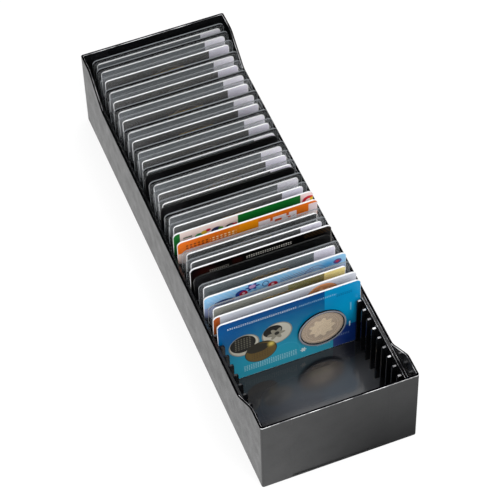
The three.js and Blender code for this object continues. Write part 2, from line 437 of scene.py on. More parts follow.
def stand_of(node: str) -> Matrix:
    """Find how a flat CAD piece stands: the middle of its foot and its lean.

    Args:
        node: the CAD node of a plate that faces the front.

    Returns:
        The matrix from the plate's flat position to its place.
    """
    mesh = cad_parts[node].data
    face = Vector()
    for polygon in mesh.polygons:
        if polygon.normal.y < -FACING and abs(polygon.normal.x) < STRAIGHT:
            face += polygon.normal * polygon.area
    lean = Matrix.Rotation(math.atan2(-face.z, -face.y), 4, "X")
    flat = [lean.inverted() @ v.co for v in mesh.vertices]
    middle = [(min(p[i] for p in flat) + max(p[i] for p in flat)) / 2 for i in (0, 1)]
    return lean @ Matrix.Translation((*middle, min(p.z for p in flat)))


# Finishes, each named for what the real one is


class Moulding(Enum):
    """The surfaces of the tub: four of the mould, and arrises with a painted highlight."""

    GRAINED = "grained"
    POLISHED = "polished"
    # the floor, with painted light and shade on it
    FLOOR = "floor"
    # painted highlight on chosen arrises and rib crests
    PAINTED_HIGHLIGHT = "painted_highlight"
    # flat tops of the rims, with painted shade
    SHADED_LAND = "shaded_land"


@dataclass(frozen=True)
class MouldedStyrene:
    """Injection-moulded black polystyrene: a dull grain outside, bright walls and floor inside.

    The fine mottle breaks the reflection of the table into a grey haze on the outer walls. Some
    arrises carry a painted highlight, near white and broken by noise into thin lines. The lands of
    the rims are painted darker and all but without reflection, a painted shade that keeps them
    black.
    The floor carries painted light: grey where it lies bare in front of the cards, with painted
    shade near the cards and at its left side.
    The grain is drawn at 0.55 mm, coarser than the real mould's, so that it shows.
    """

    moulding: Moulding
    colour: str = "#111214"
    # painted shade: the lands are darker than the rest of the plastic
    shaded_land: str = "#050506"
    # painted highlight: near white, and dimmer where the coarse noise breaks it into lines
    painted_highlight: str = "#f4f4f6"
    dim_painted_highlight: str = "#4c4c50"
    # painted light on the floor: dark in the painted shade near the cards and the left wall, grey
    # further out
    floor_shaded: str = "#16171a"
    floor_lit: str = "#47484b"
    floor_light_along: tuple[float, float] = (-80.0, -102.0)
    floor_light_across: tuple[float, float] = (-36.0, -4.0)
    ior: float = 1.55
    # close to 1, so that the lands lose their reflection as part of their painted shade
    shaded_land_ior: float = 1.02
    grain: float = 0.55
    cloud: float = 9.0
    relief: float = 0.7
    noise_range: tuple[float, float] = (0.7, 1.3)
    highlight_break_range: tuple[float, float] = (0.38, 0.6)

    def material(self) -> bpy.types.Material:
        """Build the material with its grain in Object coordinates.

        Returns:
            The black plastic of one surface of the tub.
        """
        # the lands get the painted shade: a darker colour and almost no reflection
        dull = self.moulding is Moulding.SHADED_LAND
        material, tree, shader = new_material(
            f"black_polystyrene_{self.moulding.value}",
            {
                "Base Color": linear(self.shaded_land if dull else self.colour),
                "IOR": self.shaded_land_ior if dull else self.ior,
            },
        )
        low, high, height = {
            Moulding.GRAINED: (0.3, 0.46, 0.035),
            Moulding.POLISHED: (0.14, 0.24, 0.006),
            Moulding.FLOOR: (0.08, 0.13, 0.006),
            Moulding.PAINTED_HIGHLIGHT: (0.3, 0.5, 0.01),
            Moulding.SHADED_LAND: (0.4, 0.5, 0.01),
        }[self.moulding]
        place = add_node(tree, "ShaderNodeTexCoord").outputs["Object"]
        fine, cloud = (
            add_node(
                tree,
                "ShaderNodeTexNoise",
                {"Scale": 1 / (width * MM), "Detail": detail, "Roughness": rough},
                {"Vector": place},
            ).outputs["Fac"]
            for width, detail, rough in ((self.grain, 3.0, 0.6), (self.cloud, 4.0, 0.55))
        )
        mixed = add_node(tree, "ShaderNodeMath", links={0: fine, 1: cloud}, operation="ADD")
        least, most = self.noise_range
        rough = add_node(
            tree,
            "ShaderNodeMapRange",
            {"From Min": least, "From Max": most, "To Min": low, "To Max": high},
            {"Value": mixed.outputs[0]},
        )
        tree.links.new(rough.outputs[0], shader.inputs["Roughness"])
        # painted highlight on the arrises, painted light and shade on the floor
        if self.moulding in (Moulding.PAINTED_HIGHLIGHT, Moulding.FLOOR):
            tree.links.new(self.painted_light(tree, place, cloud), shader.inputs["Base Color"])
        bump = add_node(
            tree,
            "ShaderNodeBump",
            {"Strength": self.relief, "Distance": height * MM},
            {"Height": fine},
        )
        tree.links.new(bump.outputs[0], shader.inputs["Normal"])
        return material

    def painted_light(self, tree: Tree, place: Socket, cloud: Socket) -> Socket:
        """Build the painted light of a surface: broken highlight lines on an arris, and on the
        floor a grey pool of light with painted shade near the cards and the left wall.

        Args:
            tree: the material's node tree.
            place: the Object coordinates.
            cloud: the coarse noise.

        Returns:
            The socket that carries the colour.
        """
        if self.moulding is Moulding.PAINTED_HIGHLIGHT:
            # painted highlight, broken into lines by the coarse noise
            colours = self.painted_highlight, self.dim_painted_highlight
            least, most = self.highlight_break_range
            lit_share = add_node(
                tree, "ShaderNodeMapRange", {"From Min": least, "From Max": most}, {"Value": cloud}
            )
        else:
            # painted shade near the cards and the left wall, painted light in front of them
            colours = self.floor_shaded, self.floor_lit
            split = add_node(tree, "ShaderNodeSeparateXYZ", links={0: place})
            across, along = (
                add_node(
                    tree,
                    "ShaderNodeMapRange",
                    {"From Min": start * MM, "From Max": end * MM},
                    {"Value": split.outputs[axis]},
                    interpolation_type="SMOOTHSTEP",
                ).outputs[0]
                for axis, (start, end) in enumerate((self.floor_light_across, self.floor_light_along))
            )
            lit_share = add_node(
                tree, "ShaderNodeMath", links={0: along, 1: across}, operation="MULTIPLY"
            )
        return add_node(
            tree,
            "ShaderNodeMix",
            {6: linear(colours[0]), 7: linear(colours[1])},
            {0: lit_share.outputs[0]},
            data_type="RGBA",
        ).outputs[2]


class CaseZone(Enum):
    """The looks of a clear case: window, arris with a painted highlight, rim, and rim with painted
    shade.
    """

    WINDOW = "window"
    PAINTED_HIGHLIGHT_ARRIS = "arris"
    RIM = "rim"
    PAINTED_SHADE_RIM = "painted_shade_rim"


@dataclass(frozen=True)
class ClearStyrene:
    """Crystal polystyrene, moulded thin: the window hardly shows.

    The solid rim is tinted a faint grey; on the cases that are turned it is painted near black, a
    painted shade for the dark tub seen inside it. The matt band along its back arris is painted
    grey, a painted highlight that reads as a lit line.
    """

    zone: CaseZone
    ior: float = 1.55

    def material(self) -> bpy.types.Material:
        """Build the clear plastic, with faint flow marks in its surface.

        Returns:
            The plastic of one zone of a clear case.
        """
        colour, solid, rough = {
            CaseZone.WINDOW: ("#dfe4e7", 0.05, 0.06),
            # painted highlight: a grey band that reads as a lit line
            CaseZone.PAINTED_HIGHLIGHT_ARRIS: ("#74787c", 0.8, 0.4),
            CaseZone.RIM: ("#8f9398", 0.1, 0.12),
            # painted shade on the rims of turned cases
            CaseZone.PAINTED_SHADE_RIM: ("#050607", 0.86, 0.2),
        }[self.zone]
        material, tree, shader = new_material(
            f"crystal_polystyrene_{self.zone.value}",
            {
                "Base Color": linear(colour),
                "Alpha": solid,
                "IOR": self.ior,
                "Roughness": rough,
            },
        )
        fine_relief(tree, shader, width=14, depth=0.05, strength=0.25, detail=1.0)
        return material


class CapsuleZone(Enum):
    """The looks of the coin capsule: window, flange with painted reflection, edge with painted
    shade.
    """

    WINDOW = "window"
    PAINTED_REFLECTION_FLANGE = "flange"
    EDGE = "edge"


@dataclass(frozen=True)
class ClearAcrylic:
    """Polished acrylic of the coin capsule: a window that hardly shows inside a flange painted pale
    grey, a painted reflection.

    Its inner edge is painted dark, a painted shade for the gap round the coin.
    """

    zone: CapsuleZone
    ior: float = 1.49

    def material(self) -> bpy.types.Material:
        """Build the clear plastic, with faint flow marks in its surface.

        Returns:
            The plastic of one zone of the capsule.
        """
        colour, solid, rough = {
            CapsuleZone.WINDOW: ("#f6f6f8", 0.06, 0.05),
            # painted reflection: the flange is a pale grey, mostly solid
            CapsuleZone.PAINTED_REFLECTION_FLANGE: ("#a9acb6", 0.72, 0.16),
            # painted shade: the inner edge is near black round the coin
            CapsuleZone.EDGE: ("#0c0d11", 0.85, 0.12),
        }[self.zone]
        material, tree, shader = new_material(
            f"clear_acrylic_{self.zone.value}",
            {
                "Base Color": linear(colour),
                "Alpha": solid,
                "IOR": self.ior,
                "Roughness": rough,
            },
        )
        fine_relief(tree, shader, width=10, depth=0.04, strength=0.2, detail=1.0)
        return material


@dataclass(frozen=True)
class BoardCore:
    """Bleached card board, cut: the pale edge round a printed card.

    Its fibres are finer than the 0.3 mm at which they are drawn to show at all.
    """

    name: str = "bleached_board_core"
    colour: str = "#fbfbfc"
    speckle: str = "#ececee"
    fibre: float = 0.3

    def material(self) -> bpy.types.Material:
        """Build the matt core with a faint fibre speckle.

        Returns:
            The cut edge of a board.
        """
        material, tree, shader = new_material(self.name, {"Roughness": 0.6})
        place = add_node(tree, "ShaderNodeTexCoord")
        fibre = add_node(
            tree,
            "ShaderNodeTexNoise",
            {"Scale": 1 / (self.fibre * MM), "Detail": 2.0},
            {"Vector": place.outputs["Object"]},
        )
        tint = add_node(
            tree,
            "ShaderNodeMix",
            {6: linear(self.colour), 7: linear(self.speckle)},
            {0: fibre.outputs["Fac"]},
            data_type="RGBA",
        )
        tree.links.new(tint.outputs[2], shader.inputs["Base Color"])
        return material


@dataclass(frozen=True)
class DividerSheet:
    """Black polypropylene sheet: a flat, slightly waxy black with a fine pressed grain.

    The grain of 0.4 mm is a little coarser than the real one, so that it breaks the sheen.
    """

    name: str = "black_polypropylene_sheet"
    colour: str = "#0c0c0d"
    ior: float = 1.49
    roughness: float = 0.36
    grain: float = 0.4

    def material(self) -> bpy.types.Material:
        """Build the sheet with its pressed grain.

        Returns:
            The black plastic of the dividers.
        """
        material, tree, shader = new_material(
            self.name,
            {"Base Color": linear(self.colour), "IOR": self.ior, "Roughness": self.roughness},
        )
        fine_relief(tree, shader, width=self.grain, depth=0.02, strength=0.5, detail=2.0)
        return material


@dataclass(frozen=True)
class StruckMetal:
    """Struck coin metal: polished high points, a dull field and a raised rosette.

    The relief is a plain rosette inside a ring of beads and stands for any coin. The reach of the
    petals, and the radius and half width of each ring, are shares of the coin's radius.
    """

    name: str
    colour: str
    shade: str
    radius: float
    petals: int = 9
    beads: int = 60
    petal_edge: float = 0.7
    petal_reach: tuple[float, float] = (0.16, 0.5)
    bead_ring: tuple[float, float] = (0.87, 0.055)
    inner_ring: tuple[float, float] = (0.76, 0.03)
    heart_ring: tuple[float, float] = (0.22, 0.05)
    ring_rise: float = 0.6
    heart_rise: float = 0.8
    relief: float = 0.12
    roughness: tuple[float, float] = (0.48, 0.32)
    metallic: float = 0.3

    def material(self) -> bpy.types.Material:
        """Build the metal with its relief in the piece's own UV map, in millimetres.

        Returns:
            The metal of one size of coin.
        """
        material, tree, shader = new_material(self.name, {"Metallic": self.metallic})
        uv = add_node(tree, "ShaderNodeUVMap", uv_map="print")
        split = add_node(tree, "ShaderNodeSeparateXYZ", links={0: uv.outputs[0]})
        far = add_node(
            tree, "ShaderNodeVectorMath", links={0: uv.outputs[0]}, operation="LENGTH"
        ).outputs["Value"]
        turn = add_node(
            tree,
            "ShaderNodeMath",
            links={0: split.outputs[1], 1: split.outputs[0]},
            operation="ARCTAN2",
        ).outputs[0]
        swing, least = self.petal_reach
        reach = add_node(
            tree,
            "ShaderNodeMath",
            {1: swing * self.radius, 2: least * self.radius},
            {0: self.wave(tree, turn, self.petals)},
            operation="MULTIPLY_ADD",
        )
        petal = self.below(tree, far, reach.outputs[0], self.petal_edge)
        beads, inner, heart = (
            self.ring(tree, far, share * self.radius, half_share * self.radius)
            for share, half_share in (self.bead_ring, self.inner_ring, self.heart_ring)
        )
        bead = add_node(
            tree,
            "ShaderNodeMath",
            links={0: beads, 1: self.wave(tree, turn, self.beads)},
            operation="MULTIPLY",
        )
        layers = (
            (bead.outputs[0], self.ring_rise),
            (inner, self.ring_rise),
            (heart, self.heart_rise),
        )
        height = petal
        for layer, rise in layers:
            height = add_node(
                tree,
                "ShaderNodeMath",
                {1: rise},
                {0: layer, 2: height},
                operation="MULTIPLY_ADD",
            ).outputs[0]
        bump = add_node(
            tree,
            "ShaderNodeBump",
            {"Strength": 1.0, "Distance": self.relief * MM},
            {"Height": height},
        )
        tree.links.new(bump.outputs[0], shader.inputs["Normal"])
        tint = add_node(
            tree,
            "ShaderNodeMix",
            {6: linear(self.shade), 7: linear(self.colour)},
            {0: height},
            data_type="RGBA",
        )
        tree.links.new(tint.outputs[2], shader.inputs["Base Color"])
        field, crest = self.roughness
        rough = add_node(
            tree, "ShaderNodeMapRange", {"To Min": field, "To Max": crest}, {"Value": height}
        )
        tree.links.new(rough.outputs[0], shader.inputs["Roughness"])
        return material

    @staticmethod
    def wave(tree: Tree, turn: Socket, count: int) -> Socket:
        """Give a wave from 0 to 1 that goes round the coin a number of times.

        Args:
            tree: the material's node tree.
            turn: the angle round the middle in radians.
            count: how many crests the wave has on its way round.

        Returns:
            The socket that carries the wave.
        """
        angle = add_node(tree, "ShaderNodeMath", {1: float(count)}, {0: turn}, operation="MULTIPLY")
        swing = add_node(tree, "ShaderNodeMath", links={0: angle.outputs[0]}, operation="COSINE")
        return add_node(
            tree,
            "ShaderNodeMath",
            {1: 0.5, 2: 0.5},
            {0: swing.outputs[0]},
            operation="MULTIPLY_ADD",
        ).outputs[0]

    @staticmethod
    def below(tree: Tree, value: Socket, limit: Socket, soft: float) -> Socket:
        """Give 1 where a value is under its limit, falling to 0 over a soft width.

        Args:
            tree: the material's node tree.
            value: the value.
            limit: its limit.
            soft: the soft width, in the unit of the value.

        Returns:
            The socket that carries the result.
        """
        gap = add_node(tree, "ShaderNodeMath", links={0: limit, 1: value}, operation="SUBTRACT")
        return add_node(
            tree,
            "ShaderNodeMapRange",
            {"From Max": soft},
            {"Value": gap.outputs[0]},
            interpolation_type="SMOOTHSTEP",
        ).outputs[0]

    @staticmethod
    def ring(tree: Tree, far: Socket, radius: float, half: float) -> Socket:
        """Give a soft ring that is 1 at its radius and 0 a half width away.

        Args:
            tree: the material's node tree.
            far: the distance from the middle in millimetres.
            radius: the ring's radius in millimetres.
            half: half its width in millimetres.

        Returns:
            The socket that carries the ring.
        """
        off = add_node(tree, "ShaderNodeMath", {1: radius}, {0: far}, operation="SUBTRACT")
        size = add_node(tree, "ShaderNodeMath", links={0: off.outputs[0]}, operation="ABSOLUTE")
        return add_node(
            tree,
            "ShaderNodeMapRange",
            {"From Min": half, "From Max": 0.0},
            {"Value": size.outputs[0]},
            interpolation_type="SMOOTHSTEP",
        ).outputs[0]


@dataclass(frozen=True)
class GoldLeaf:
    """Small pressed bar with a gold finish: warm and bright, with a brushed field.

    The brush marks lie 0.25 mm apart and run on for about 8 mm.
    """

    name: str = "pressed_gold_finish"
    colour: str = "#d8b066"
    roughness: float = 0.3
    marks_per_mm: tuple[float, float] = (4.0, 0.12)
    mark_depth: float = 0.03
    mark_strength: float = 0.5

    def material(self) -> bpy.types.Material:
        """Build the metal with its brush marks, narrow across the bar and long down it.

        Returns:
            The gold finish of the small bars.
        """
        material, tree, shader = new_material(
            self.name,
            {"Base Color": linear(self.colour), "Metallic": 1.0, "Roughness": self.roughness},
        )
        uv = add_node(tree, "ShaderNodeUVMap", uv_map="print")
        spread = add_node(
            tree,
            "ShaderNodeVectorMath",
            {1: (*self.marks_per_mm, 1.0)},
            {0: uv.outputs[0]},
            operation="MULTIPLY",
        )
        marks = add_node(
            tree,
            "ShaderNodeTexNoise",
            {"Scale": 1.0, "Detail": 2.0},
            {"Vector": spread.outputs[0]},
        )
        bump = add_node(
            tree,
            "ShaderNodeBump",
            {"Strength": self.mark_strength, "Distance": self.mark_depth * MM},
            {"Height": marks.outputs["Fac"]},
        )
        tree.links.new(bump.outputs[0], shader.inputs["Normal"])
        return material


class Shape(Enum):
    """Shapes that a print is put together from."""

    BLOCK = "block"
    DISC = "disc"
    RING = "ring"
    LINES = "lines"
    DOTS = "dots"
    GLOW = "glow"
    ROSETTE = "rosette"
    SLANT = "slant"


@dataclass(frozen=True)
class Mark:
    """One flat mark of a print, centred on x and z with a width and height, all in millimetres.

    The pitch is the distance of its dots or lines, or the width of a ring's line. A dot's radius
    and a line's width are shares of it. The petals of a rosette reach out to its least and swing.
    """

    dot_share: ClassVar[float] = 0.3
    line_share: ClassVar[float] = 0.45
    slant: ClassVar[tuple[float, float]] = (0.8, 0.6)
    petals: ClassVar[int] = 6
    petal_reach: ClassVar[tuple[float, float]] = (0.45, 0.55)

    shape: Shape
    x: float
    z: float
    width: float
    height: float
    colour: str
    pitch: float = 2.0
    strength: float = 1.0

    def mask(self, tree: Tree, point: Socket) -> Socket:
        """Build the mask that is 1 inside the mark.

        Args:
            tree: the print's node tree.
            point: the place on the card in millimetres.

        Returns:
            The socket that carries the mask.
        """
        moved = add_node(
            tree,
            "ShaderNodeVectorMath",
            {1: (self.x, self.z, 0.0)},
            {0: point},
            operation="SUBTRACT",
        )
        scaled = add_node(
            tree,
            "ShaderNodeVectorMath",
            {1: (2 / self.width, 2 / self.height, 0.0)},
            {0: moved.outputs[0]},
            operation="MULTIPLY",
        )
        if self.shape in (Shape.DISC, Shape.RING, Shape.GLOW, Shape.ROSETTE):
            mask = self.round_mask(tree, scaled.outputs[0])
        else:
            mask = self.block_mask(tree, scaled.outputs[0])
            if self.shape in (Shape.LINES, Shape.DOTS, Shape.SLANT):
                inside = self.repeat_mask(tree, moved.outputs[0])
                mask = add_node(
                    tree, "ShaderNodeMath", links={0: mask, 1: inside}, operation="MULTIPLY"
                ).outputs[0]
        return add_node(
            tree, "ShaderNodeMath", {1: self.strength}, {0: mask}, operation="MULTIPLY"
        ).outputs[0]

    def block_mask(self, tree: Tree, scaled: Socket) -> Socket:
        """Build the mask of the mark's rectangle.

        Args:
            tree: the print's node tree.
            scaled: the place from the mark's middle, in half widths and half heights.

        Returns:
            The socket that carries 1 inside and 0 outside.
        """
        size = add_node(tree, "ShaderNodeVectorMath", links={0: scaled}, operation="ABSOLUTE")
        split = add_node(tree, "ShaderNodeSeparateXYZ", links={0: size.outputs[0]})
        most = add_node(
            tree,
            "ShaderNodeMath",
            links={0: split.outputs[0], 1: split.outputs[1]},
            operation="MAXIMUM",
        )
        return add_node(
            tree, "ShaderNodeMath", {1: 1.0}, {0: most.outputs[0]}, operation="LESS_THAN"
        ).outputs[0]

    def round_mask(self, tree: Tree, scaled: Socket) -> Socket:
        """Build the mask of a disc, ring, glow or rosette.

        Args:
            tree: the print's node tree.
            scaled: the place from the mark's middle, in half widths and half heights.

        Returns:
            The socket that carries 1 inside and 0 outside, or the run between them of a glow.
        """
        far = add_node(
            tree, "ShaderNodeVectorMath", links={0: scaled}, operation="LENGTH"
        ).outputs["Value"]
        if self.shape is Shape.GLOW:
            return add_node(
                tree,
                "ShaderNodeMapRange",
                {"From Min": 1.0, "From Max": 0.0},
                {"Value": far},
                interpolation_type="SMOOTHSTEP",
            ).outputs[0]
        if self.shape is Shape.RING:
            off = add_node(
                tree,
                "ShaderNodeMath",
                {1: 1 - self.pitch / self.width},
                {0: far},
                operation="SUBTRACT",
            )
            size = add_node(tree, "ShaderNodeMath", links={0: off.outputs[0]}, operation="ABSOLUTE")
            return add_node(
                tree,
                "ShaderNodeMath",
                {1: self.pitch / self.width},
                {0: size.outputs[0]},
                operation="LESS_THAN",
            ).outputs[0]
        if self.shape is Shape.ROSETTE:
            split = add_node(tree, "ShaderNodeSeparateXYZ", links={0: scaled})
            turn = add_node(
                tree,
                "ShaderNodeMath",
                links={0: split.outputs[1], 1: split.outputs[0]},
                operation="ARCTAN2",
            )
            wave = StruckMetal.wave(tree, turn.outputs[0], self.petals)
            swing, least = self.petal_reach
            reach = add_node(
                tree, "ShaderNodeMath", {1: swing, 2: least}, {0: wave}, operation="MULTIPLY_ADD"
            )
            return add_node(
                tree,
                "ShaderNodeMath",
                links={0: far, 1: reach.outputs[0]},
                operation="LESS_THAN",
            ).outputs[0]
        return add_node(
            tree, "ShaderNodeMath", {1: 1.0}, {0: far}, operation="LESS_THAN"
        ).outputs[0]

    def repeat_mask(self, tree: Tree, moved: Socket) -> Socket:
        """Build the lines, slanted stripes or dots that repeat inside the rectangle.

        Args:
            tree: the print's node tree.
            moved: the place from the mark's middle in millimetres.

        Returns:
            The socket that carries 1 on them and 0 between them.
        """
        if self.shape is Shape.DOTS:
            steps = add_node(
                tree,
                "ShaderNodeVectorMath",
                {1: (1 / self.pitch, 1 / self.pitch, 0.0)},
                {0: moved},
                operation="MULTIPLY",
            )
            part = add_node(
                tree, "ShaderNodeVectorMath", links={0: steps.outputs[0]}, operation="FRACTION"
            )
            off = add_node(
                tree,
                "ShaderNodeVectorMath",
                {1: (0.5, 0.5, 0.0)},
                {0: part.outputs[0]},
                operation="SUBTRACT",
            )
            far = add_node(
                tree, "ShaderNodeVectorMath", links={0: off.outputs[0]}, operation="LENGTH"
            )
            return add_node(
                tree,
                "ShaderNodeMath",
                {1: self.dot_share},
                {0: far.outputs["Value"]},
                operation="LESS_THAN",
            ).outputs[0]
        across, up = (0.0, 1.0) if self.shape is Shape.LINES else self.slant
        run = add_node(
            tree,
            "ShaderNodeVectorMath",
            {1: (across / self.pitch, up / self.pitch, 0.0)},
            {0: moved},
            operation="DOT_PRODUCT",
        )
        part = add_node(tree, "ShaderNodeMath", links={0: run.outputs["Value"]}, operation="FRACT")
        return add_node(
            tree,
            "ShaderNodeMath",
            {1: self.line_share},
            {0: part.outputs[0]},
            operation="LESS_THAN",
        ).outputs[0]


@dataclass(frozen=True)
class PrintedFace:
    """Offset print under a thin gloss laminate: flat inks, a soft sheen and a faint paper tooth."""

    name: str
    low: str
    high: str
    marks: tuple[Mark, ...] = ()
    border: str | None = None
    width: float = 85.6
    height: float = 54.0
    foot: float = 0.0
    edge: float = 0.14
    tooth_per_mm: float = 2.2
    tooth_depth: float = 0.01
    tooth_strength: float = 0.3
    roughness: float = 0.3
    ior: float = 1.48

    def material(self) -> bpy.types.Material:
        """Build the print: a run of two inks from foot to top, then each mark, then the border.

        Returns:
            The printed face.
        """
        material, tree, shader = new_material(
            f"laminated_print_{self.name}", {"Roughness": self.roughness, "IOR": self.ior}
        )
        uv = add_node(tree, "ShaderNodeUVMap", uv_map="print").outputs[0]
        split = add_node(tree, "ShaderNodeSeparateXYZ", links={0: uv})
        run = add_node(
            tree,
            "ShaderNodeMapRange",
            {"From Min": self.foot, "From Max": self.foot + self.height},
            {"Value": split.outputs[1]},
        )
        ink = add_node(
            tree,
            "ShaderNodeMix",
            {6: linear(self.low), 7: linear(self.high)},
            {0: run.outputs[0]},
            data_type="RGBA",
        ).outputs[2]
        for mark in self.marks:
            ink = add_node(
                tree,
                "ShaderNodeMix",
                {7: linear(mark.colour)},
                {0: mark.mask(tree, uv), 6: ink},
                data_type="RGBA",
            ).outputs[2]
        if self.border:
            middle = self.foot + self.height / 2
            size = self.width - 2 * self.edge, self.height - 2 * self.edge
            inner = Mark(Shape.BLOCK, 0, middle, *size, self.border)
            ink = add_node(
                tree,
                "ShaderNodeMix",
                {6: linear(self.border)},
                {0: inner.mask(tree, uv), 7: ink},
                data_type="RGBA",
            ).outputs[2]
        tree.links.new(ink, shader.inputs["Base Color"])
        tooth = add_node(
            tree, "ShaderNodeTexNoise", {"Scale": self.tooth_per_mm, "Detail": 2.0}, {"Vector": uv}
        )
        bump = add_node(
            tree,
            "ShaderNodeBump",
            {"Strength": self.tooth_strength, "Distance": self.tooth_depth * MM},
            {"Height": tooth.outputs["Fac"]},
        )
        tree.links.new(bump.outputs[0], shader.inputs["Normal"])
        return material


# Pieces of the box, one class for each sub-assembly


@dataclass
class Tub:
    """The moulded tub, its shape taken from the frame with its arrises broken.

    A reach is a distance inwards from the outside of the tub, in which an arris or a crest lies.
    A play is how far a face may lie off a level. A share is the part of a face's normal that
    points one way: the tilt is that of a broken arris, which looks up more than an upright face
    and less than a flat one.
    """

    rim_round: float = 0.3
    rib_round: float = 0.24
    outer_reach: float = 0.7
    end_reach: float = 1.8
    ramp_reach: float = 1.7
    ledge_reach: float = 3.2
    crest_reach: tuple[float, float] = (3.6, 5.6)
    ledge: float = 40.6
    rib_top: float = 39.7
    over_ledge: float = 0.3
    ramp_over_ledge: float = 1.5
    floor_top: float = 2.0
    underside: float = 0.3
    level_play: float = 0.5
    ledge_play: float = 0.4
    tilt: tuple[float, float] = (0.15, 0.95)
    crest_share: float = 0.3
    side_share: float = 0.2
    end_share: float = 0.75
    floor_share: float = 0.5
    weld: float = 0.002
    flat_angle: float = 0.5

    def build(self) -> bpy.types.Object:
        """Copy the frame's tub, round its arrises and give each surface its finish.

        Returns:
            The tub.
        """
        select_only(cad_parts["storage_box"])
        bpy.ops.object.duplicate(linked=False)
        tub = bpy.context.object
        tub.name = tub.data.name = "moulded_tub"
        tub.parent = None
        tub.matrix_world = Matrix.Identity(4)
        edit(tub)
        bpy.ops.mesh.select_all(action="SELECT")
        bpy.ops.mesh.remove_doubles(threshold=self.weld * MM)
        bpy.ops.mesh.dissolve_limited(angle_limit=math.radians(self.flat_angle))
        select_parts(tub, edges=self.on_rim)
        bpy.ops.mesh.bevel(
            offset=self.rim_round * MM, segments=3, affect="EDGES", clamp_overlap=False
        )
        close_edit()
        soften(tub, width=self.rib_round, segments=2, angle=50)
        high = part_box("storage_box")[1] / MM
        dress(
            tub,
            *[MouldedStyrene(moulding).material() for moulding in Moulding],
            pick=lambda middle, normal: slot_of(self.surface(middle, normal, high)),
        )
        return set_down(tub, "tub", "tub_plastic", "storage_box")

    def on_rim(self, edge: bmesh.types.BMEdge) -> bool:
        """Tell whether an edge is an arris of the rim: sharp, convex and above the ledge.

        Args:
            edge: an edge of the tub.

        Returns:
            True on the rim.
        """
        if len(edge.link_faces) != 2 or not edge.is_convex:
            return False
        if edge.calc_face_angle() < SMOOTH_ANGLE:
            return False
        return all(v.co.z > (self.ledge + self.over_ledge) * MM for v in edge.verts)

    def has_painted_highlight(self, middle: Vector, normal: Vector, high: Vector) -> bool:
        """Tell whether a face gets the painted highlight of a bright arris.

        Args:
            middle: the face's middle in millimetres.
            normal: its normal.
            high: the tub's highest corner in millimetres.

        Returns:
            True on the crests of the right ribs, and on the arrises of the end walls, of the right
            ledge and of the ramps.
        """
        near, far = self.crest_reach
        on_crest = abs(middle.z - self.rib_top) < self.level_play
        if on_crest and high.x - far < middle.x < high.x - near:
            return normal.z > self.crest_share and normal.y < self.side_share
        if not self.tilt[0] < normal.z < self.tilt[1]:
            return False
        if abs(middle.y) > high.y - self.end_reach and middle.z > high.z - self.level_play:
            return normal.y < -self.side_share
        is_aside = abs(normal.x) > self.side_share and abs(normal.y) < self.end_share
        is_inward = is_aside and normal.x * middle.x < 0
        is_level = abs(middle.z - self.ledge) < self.ledge_play
        on_ledge = is_level and middle.x > high.x - self.ledge_reach
        is_high = middle.z > self.ledge + self.ramp_over_ledge
        on_ramp = is_high and abs(middle.x) > high.x - self.ramp_reach
        return is_inward and (on_ledge or on_ramp)

    def surface(self, middle: Vector, normal: Vector, high: Vector) -> Moulding:
        """Tell which surface of the tub a face belongs to.

        Args:
            middle: the face's middle in millimetres.
            normal: its normal.
            high: the tub's highest corner in millimetres.

        Returns:
            The surface.
        """
        # faces with the painted highlight of a bright arris
        if self.has_painted_highlight(middle, normal, high):
            return Moulding.PAINTED_HIGHLIGHT
        # flat tops above the ledge get the painted shade of the lands
        if middle.z > self.ledge + self.over_ledge and normal.z > self.tilt[0]:
            return Moulding.SHADED_LAND
        on_side = abs(middle.x) > high.x - self.outer_reach
        on_end = abs(middle.y) > high.y - self.outer_reach
        if middle.z < self.underside or on_side or on_end:
            return Moulding.GRAINED
        on_floor = middle.z < self.floor_top and normal.z > self.floor_share
        return Moulding.FLOOR if on_floor else Moulding.POLISHED


class BarPrint(Enum):
    """The printed inserts that the clear cases hold."""

    PLAIN = "plain"
    BLACK = "black"
    CHARCOAL = "charcoal"
    SLATE = "slate"
    OLIVE = "olive"


